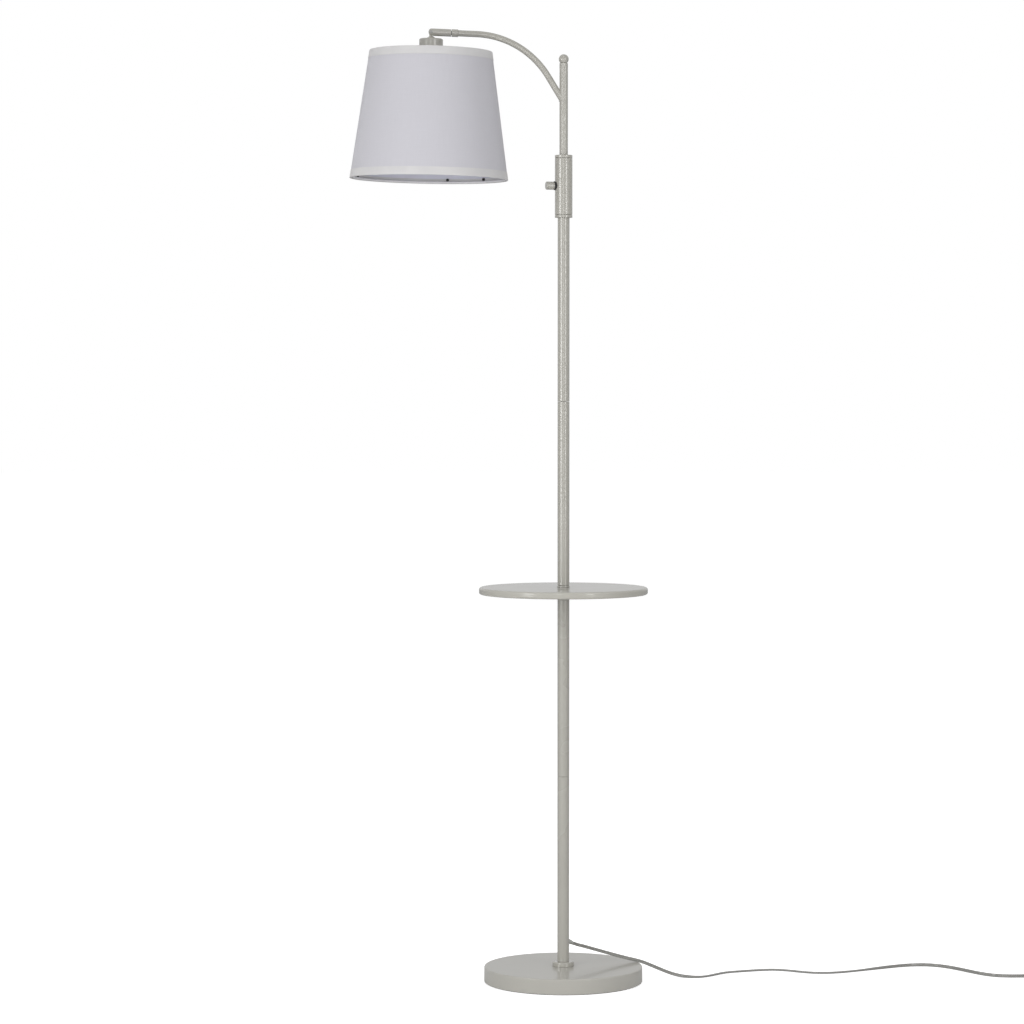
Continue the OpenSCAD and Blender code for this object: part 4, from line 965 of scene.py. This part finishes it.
# Glass with a white powder coat inside
bulb_white = grained("coated_glass", {
    "Roughness": 0.12, "IOR": 1.5, "Coat Weight": 0.6, "Coat Roughness": 0.03, "Subsurface Weight": 0.3,
    "Subsurface Radius": (0.01, 0.01, 0.01), "Subsurface Scale": 1.0,
}, 60.0, 4.0, ("ece9e2", "f4f2ec"))
bulb_from = SOCKET_END - BULB_NECK_IN
neck_len = BULB_LEN - BULB_R + BULB_NECK_IN
bulb = [(0, bulb_from)]
for i in range(BULB_STEPS + 1):
    z = neck_len * i / BULB_STEPS
    bulb.append((BULB_NECK_R + (BULB_R - BULB_NECK_R) * (1 - cos(pi * z / neck_len)) / 2, bulb_from + z))
for a in range(5, 90, 5):
    bulb.append((BULB_R * cos(radians(a)), bulb_from + neck_len + BULB_R * sin(radians(a))))
bulb.append((0, bulb_from + neck_len + BULB_R))
head_piece("bulb_envelope", turned(bulb), bulb_white, ["bulb_glass"], sharp=50)
dress(brass, "bulb_cap")

# ---------- Shade ----------
# Pale grey cloth laminated on white styrene, rolled to a cone and lapped at the back. Folded tape binds
# both edges over steel wire rings, and a three-spoke fitter hangs it from the lampholder.

SHADE_DROP = 30.4
SHADE_H = 203
SHADE_TOP_R = 98
SHADE_BOTTOM_R = 126.5
LINER_T = 0.8
FABRIC_T = 0.5
TAPE_T = 0.4
TAPE_GLUE = 0.05
HEM_H = 13
HEM_IN = 8
LAP_WIDE = 12
LAP_T = 0.34
LAP_IN = 0.35
LAP_SHORT = 0.2
CLOTH_TURN = 700.0

shade_slope = (SHADE_BOTTOM_R - SHADE_TOP_R) / SHADE_H
shade_bottom = SHADE_DROP + SHADE_H
wall = 2 * (TAPE_T + TAPE_GLUE) + FABRIC_T + LINER_T


def shade_r(drop):
    """The shade's outer radius at a depth below the tilt axis."""
    return SHADE_TOP_R + shade_slope * (drop - SHADE_DROP)


def cone_band(drop0, drop1, inward, thick, steps=24):
    """Profile of a band on the shade's slope; its outer face lies in by that amount."""
    drops = [drop0 + (drop1 - drop0) * i / steps for i in range(steps + 1)]
    outer_face = [(shade_r(d) - inward, d) for d in drops]
    return outer_face + [(r - thick, d) for r, d in reversed(outer_face)]


def woven(tree, coordinates, scale, distortion, settings=None):
    """Warp and weft as waves on the unrolled cloth, and the cloth's coordinates in millimetres."""
    settings = {"Scale": (CLOTH_TURN, 1.0, 1.0), **(settings or {})}
    flat = add(tree, "ShaderNodeMapping", settings, {"Vector": (coordinates, "UV")})
    ways = []
    for way in "YX":
        values = {"bands_direction": way, "Scale": scale, "Distortion": distortion, "Detail": 1.0}
        ways.append(add(tree, "ShaderNodeTexWave", values, {"Vector": (flat, "Vector")}))
    threads = add(tree, "ShaderNodeMath", {"operation": "ADD"}, {0: (ways[0], "Fac"), 1: (ways[1], "Fac")})
    return threads, flat


# Slub weave: warp and weft as fine waves on the unrolled cloth, with thicker threads here and there
cloth, tree, shader = material("shade_cloth", {
    "Roughness": 0.88, "IOR": 1.45, "Sheen Weight": 0.25, "Sheen Roughness": 0.5, "Specular IOR Level": 0.25,
})
# One turn of U is about 700 mm and V is in millimetres, which gives threads of 0.5 mm
threads, flat_cloth = woven(tree, add(tree, "ShaderNodeTexCoord"), 0.62, 0.5)
thick = []
for stretch in ((0.03, 1.4, 1.0), (1.4, 0.03, 1.0)):
    drawn = add(tree, "ShaderNodeMapping", {"Scale": stretch}, {"Vector": (flat_cloth, "Vector")})
    thick.append(add(tree, "ShaderNodeTexNoise", {"Scale": 1.0, "Detail": 3.0}, {"Vector": (drawn, "Vector")}))
slubs = add(tree, "ShaderNodeMath", {"operation": "ADD"}, {0: (thick[0], "Fac"), 1: (thick[1], "Fac")})
relief_height = add(tree, "ShaderNodeMath", {"operation": "MULTIPLY"}, {0: (threads, 0), 1: (slubs, 0)})
cloth_tint = ramp(tree, [(0.35, srgb("bdbcc2")), (0.65, srgb("c1c0c6"))], (slubs, 0))
half_slubs = add(tree, "ShaderNodeMath", {"operation": "MULTIPLY", 1: 0.5}, {0: (slubs, 0)})
tree.links.new(half_slubs.outputs[0], cloth_tint.inputs["Fac"])
tree.links.new(cloth_tint.outputs["Color"], shader.inputs["Base Color"])
join_bump(tree, shader, (relief_height, 0), 0.00006)

tape = TAPE_T + TAPE_GLUE
fabric = turned(cone_band(SHADE_DROP + tape, shade_bottom - tape, tape, FABRIC_T), WIDE_STEPS)
fabric_piece = head_piece("shade_cloth_cone", fabric, cloth, ["shade_fabric"], sharp=50)

# The lap where the cloth closes, at the back
lap_half = LAP_WIDE / 2 / shade_r(SHADE_DROP + SHADE_H / 2)
lap_line = cone_band(SHADE_DROP + tape + LAP_SHORT, shade_bottom - tape - LAP_SHORT, tape - LAP_IN, LAP_T)
lap = turned(lap_line, 8, pi / 2 - lap_half, 2 * lap_half)
lap_uv = lap.loops.layers.uv.active
for face in lap.faces:
    for loop in face.loops:
        u, v = loop[lap_uv].uv
        loop[lap_uv].uv = (u * LAP_WIDE / CLOTH_TURN, v)
bmesh.ops.holes_fill(lap, edges=[e for e in lap.edges if e.is_boundary], sides=0)
lap_piece = head_piece("shade_cloth_lap", lap, cloth, (), sharp=50)

# White styrene sheet, smooth on the inside
styrene = grained("white_styrene", {"Roughness": 0.5, "IOR": 1.55, "Subsurface Weight": 0.1}, 45.0, 4.0,
                  ("cfcdd8", "d2d0db"), bump=0.00003)
liner = turned(cone_band(SHADE_DROP + tape, shade_bottom - tape, tape + FABRIC_T, LINER_T), WIDE_STEPS)
liner_piece = head_piece("shade_liner_sheet", liner, styrene, ["shade_liner"], sharp=50)

# Bias tape: the same cloth folded over the edge and glued, a little lighter and warmer
tape_cloth, tree, shader = material("hem_tape", {
    "Roughness": 0.85, "IOR": 1.45, "Sheen Weight": 0.25, "Sheen Roughness": 0.5, "Specular IOR Level": 0.25,
})
coordinates = add(tree, "ShaderNodeTexCoord")
threads = woven(tree, coordinates, 0.7, 0.4, {"Rotation": (0, 0, radians(45))})[0]
tape_drift = add(tree, "ShaderNodeTexNoise", {"Scale": 30.0, "Detail": 3.0},
                 {"Vector": (coordinates, "Object")})
tape_tint = ramp(tree, [(0.3, srgb("c4c3c4")), (0.7, srgb("c9c8c8"))], (tape_drift, "Fac"))
tree.links.new(tape_tint.outputs["Color"], shader.inputs["Base Color"])
join_bump(tree, shader, (threads, 0), 0.00004)


FOLD_R = 0.35
FOLD_STEPS = 5
TAPE_END = 0.5
TAPE_END_IN = 0.08


def hem_profile(edge, turn):
    """Tape folded over an edge at a depth; it runs down from it where turn is 1, and up where it is -1."""
    outer_to, inner_to = edge + turn * HEM_H, edge + turn * HEM_IN
    edge_r, inner_r = shade_r(edge), shade_r(inner_to) - wall
    points = [(shade_r(outer_to) - TAPE_T, outer_to), (shade_r(outer_to) - TAPE_END_IN, outer_to),
              (shade_r(outer_to), outer_to - turn * TAPE_END)]
    for k in range(1, FOLD_STEPS + 1):
        d = outer_to + (edge + turn * FOLD_R - outer_to) * k / FOLD_STEPS
        points.append((shade_r(d), d))
    return points + [
        (edge_r - FOLD_R, edge), (edge_r - wall + FOLD_R, edge), (edge_r - wall, edge + turn * FOLD_R),
        (inner_r, inner_to), (inner_r + TAPE_T, inner_to), (edge_r - wall + TAPE_T, edge + turn * TAPE_T),
        (edge_r - TAPE_T, edge + turn * TAPE_T),
    ]


top_tape, bottom_tape = [
    head_piece(name + "_tape", turned(hem_profile(edge, turn), WIDE_STEPS), tape_cloth, [name], 60)
    for name, edge, turn in (("shade_hem_top", SHADE_DROP, 1), ("shade_hem_bottom", shade_bottom, -1))
]

# White powder coat on the shade's steel wire and fitter
white_coat = grained("white_powder_coat", {"Roughness": 0.4, "IOR": 1.5}, 800.0, 3.0, ("dcdbdd", "e4e3e5"),
                     bump=0.00004)
dress(white_coat, "shade_fitter", "shade_bottom_wire")
dress(rubber, "shade_rim_nuts")
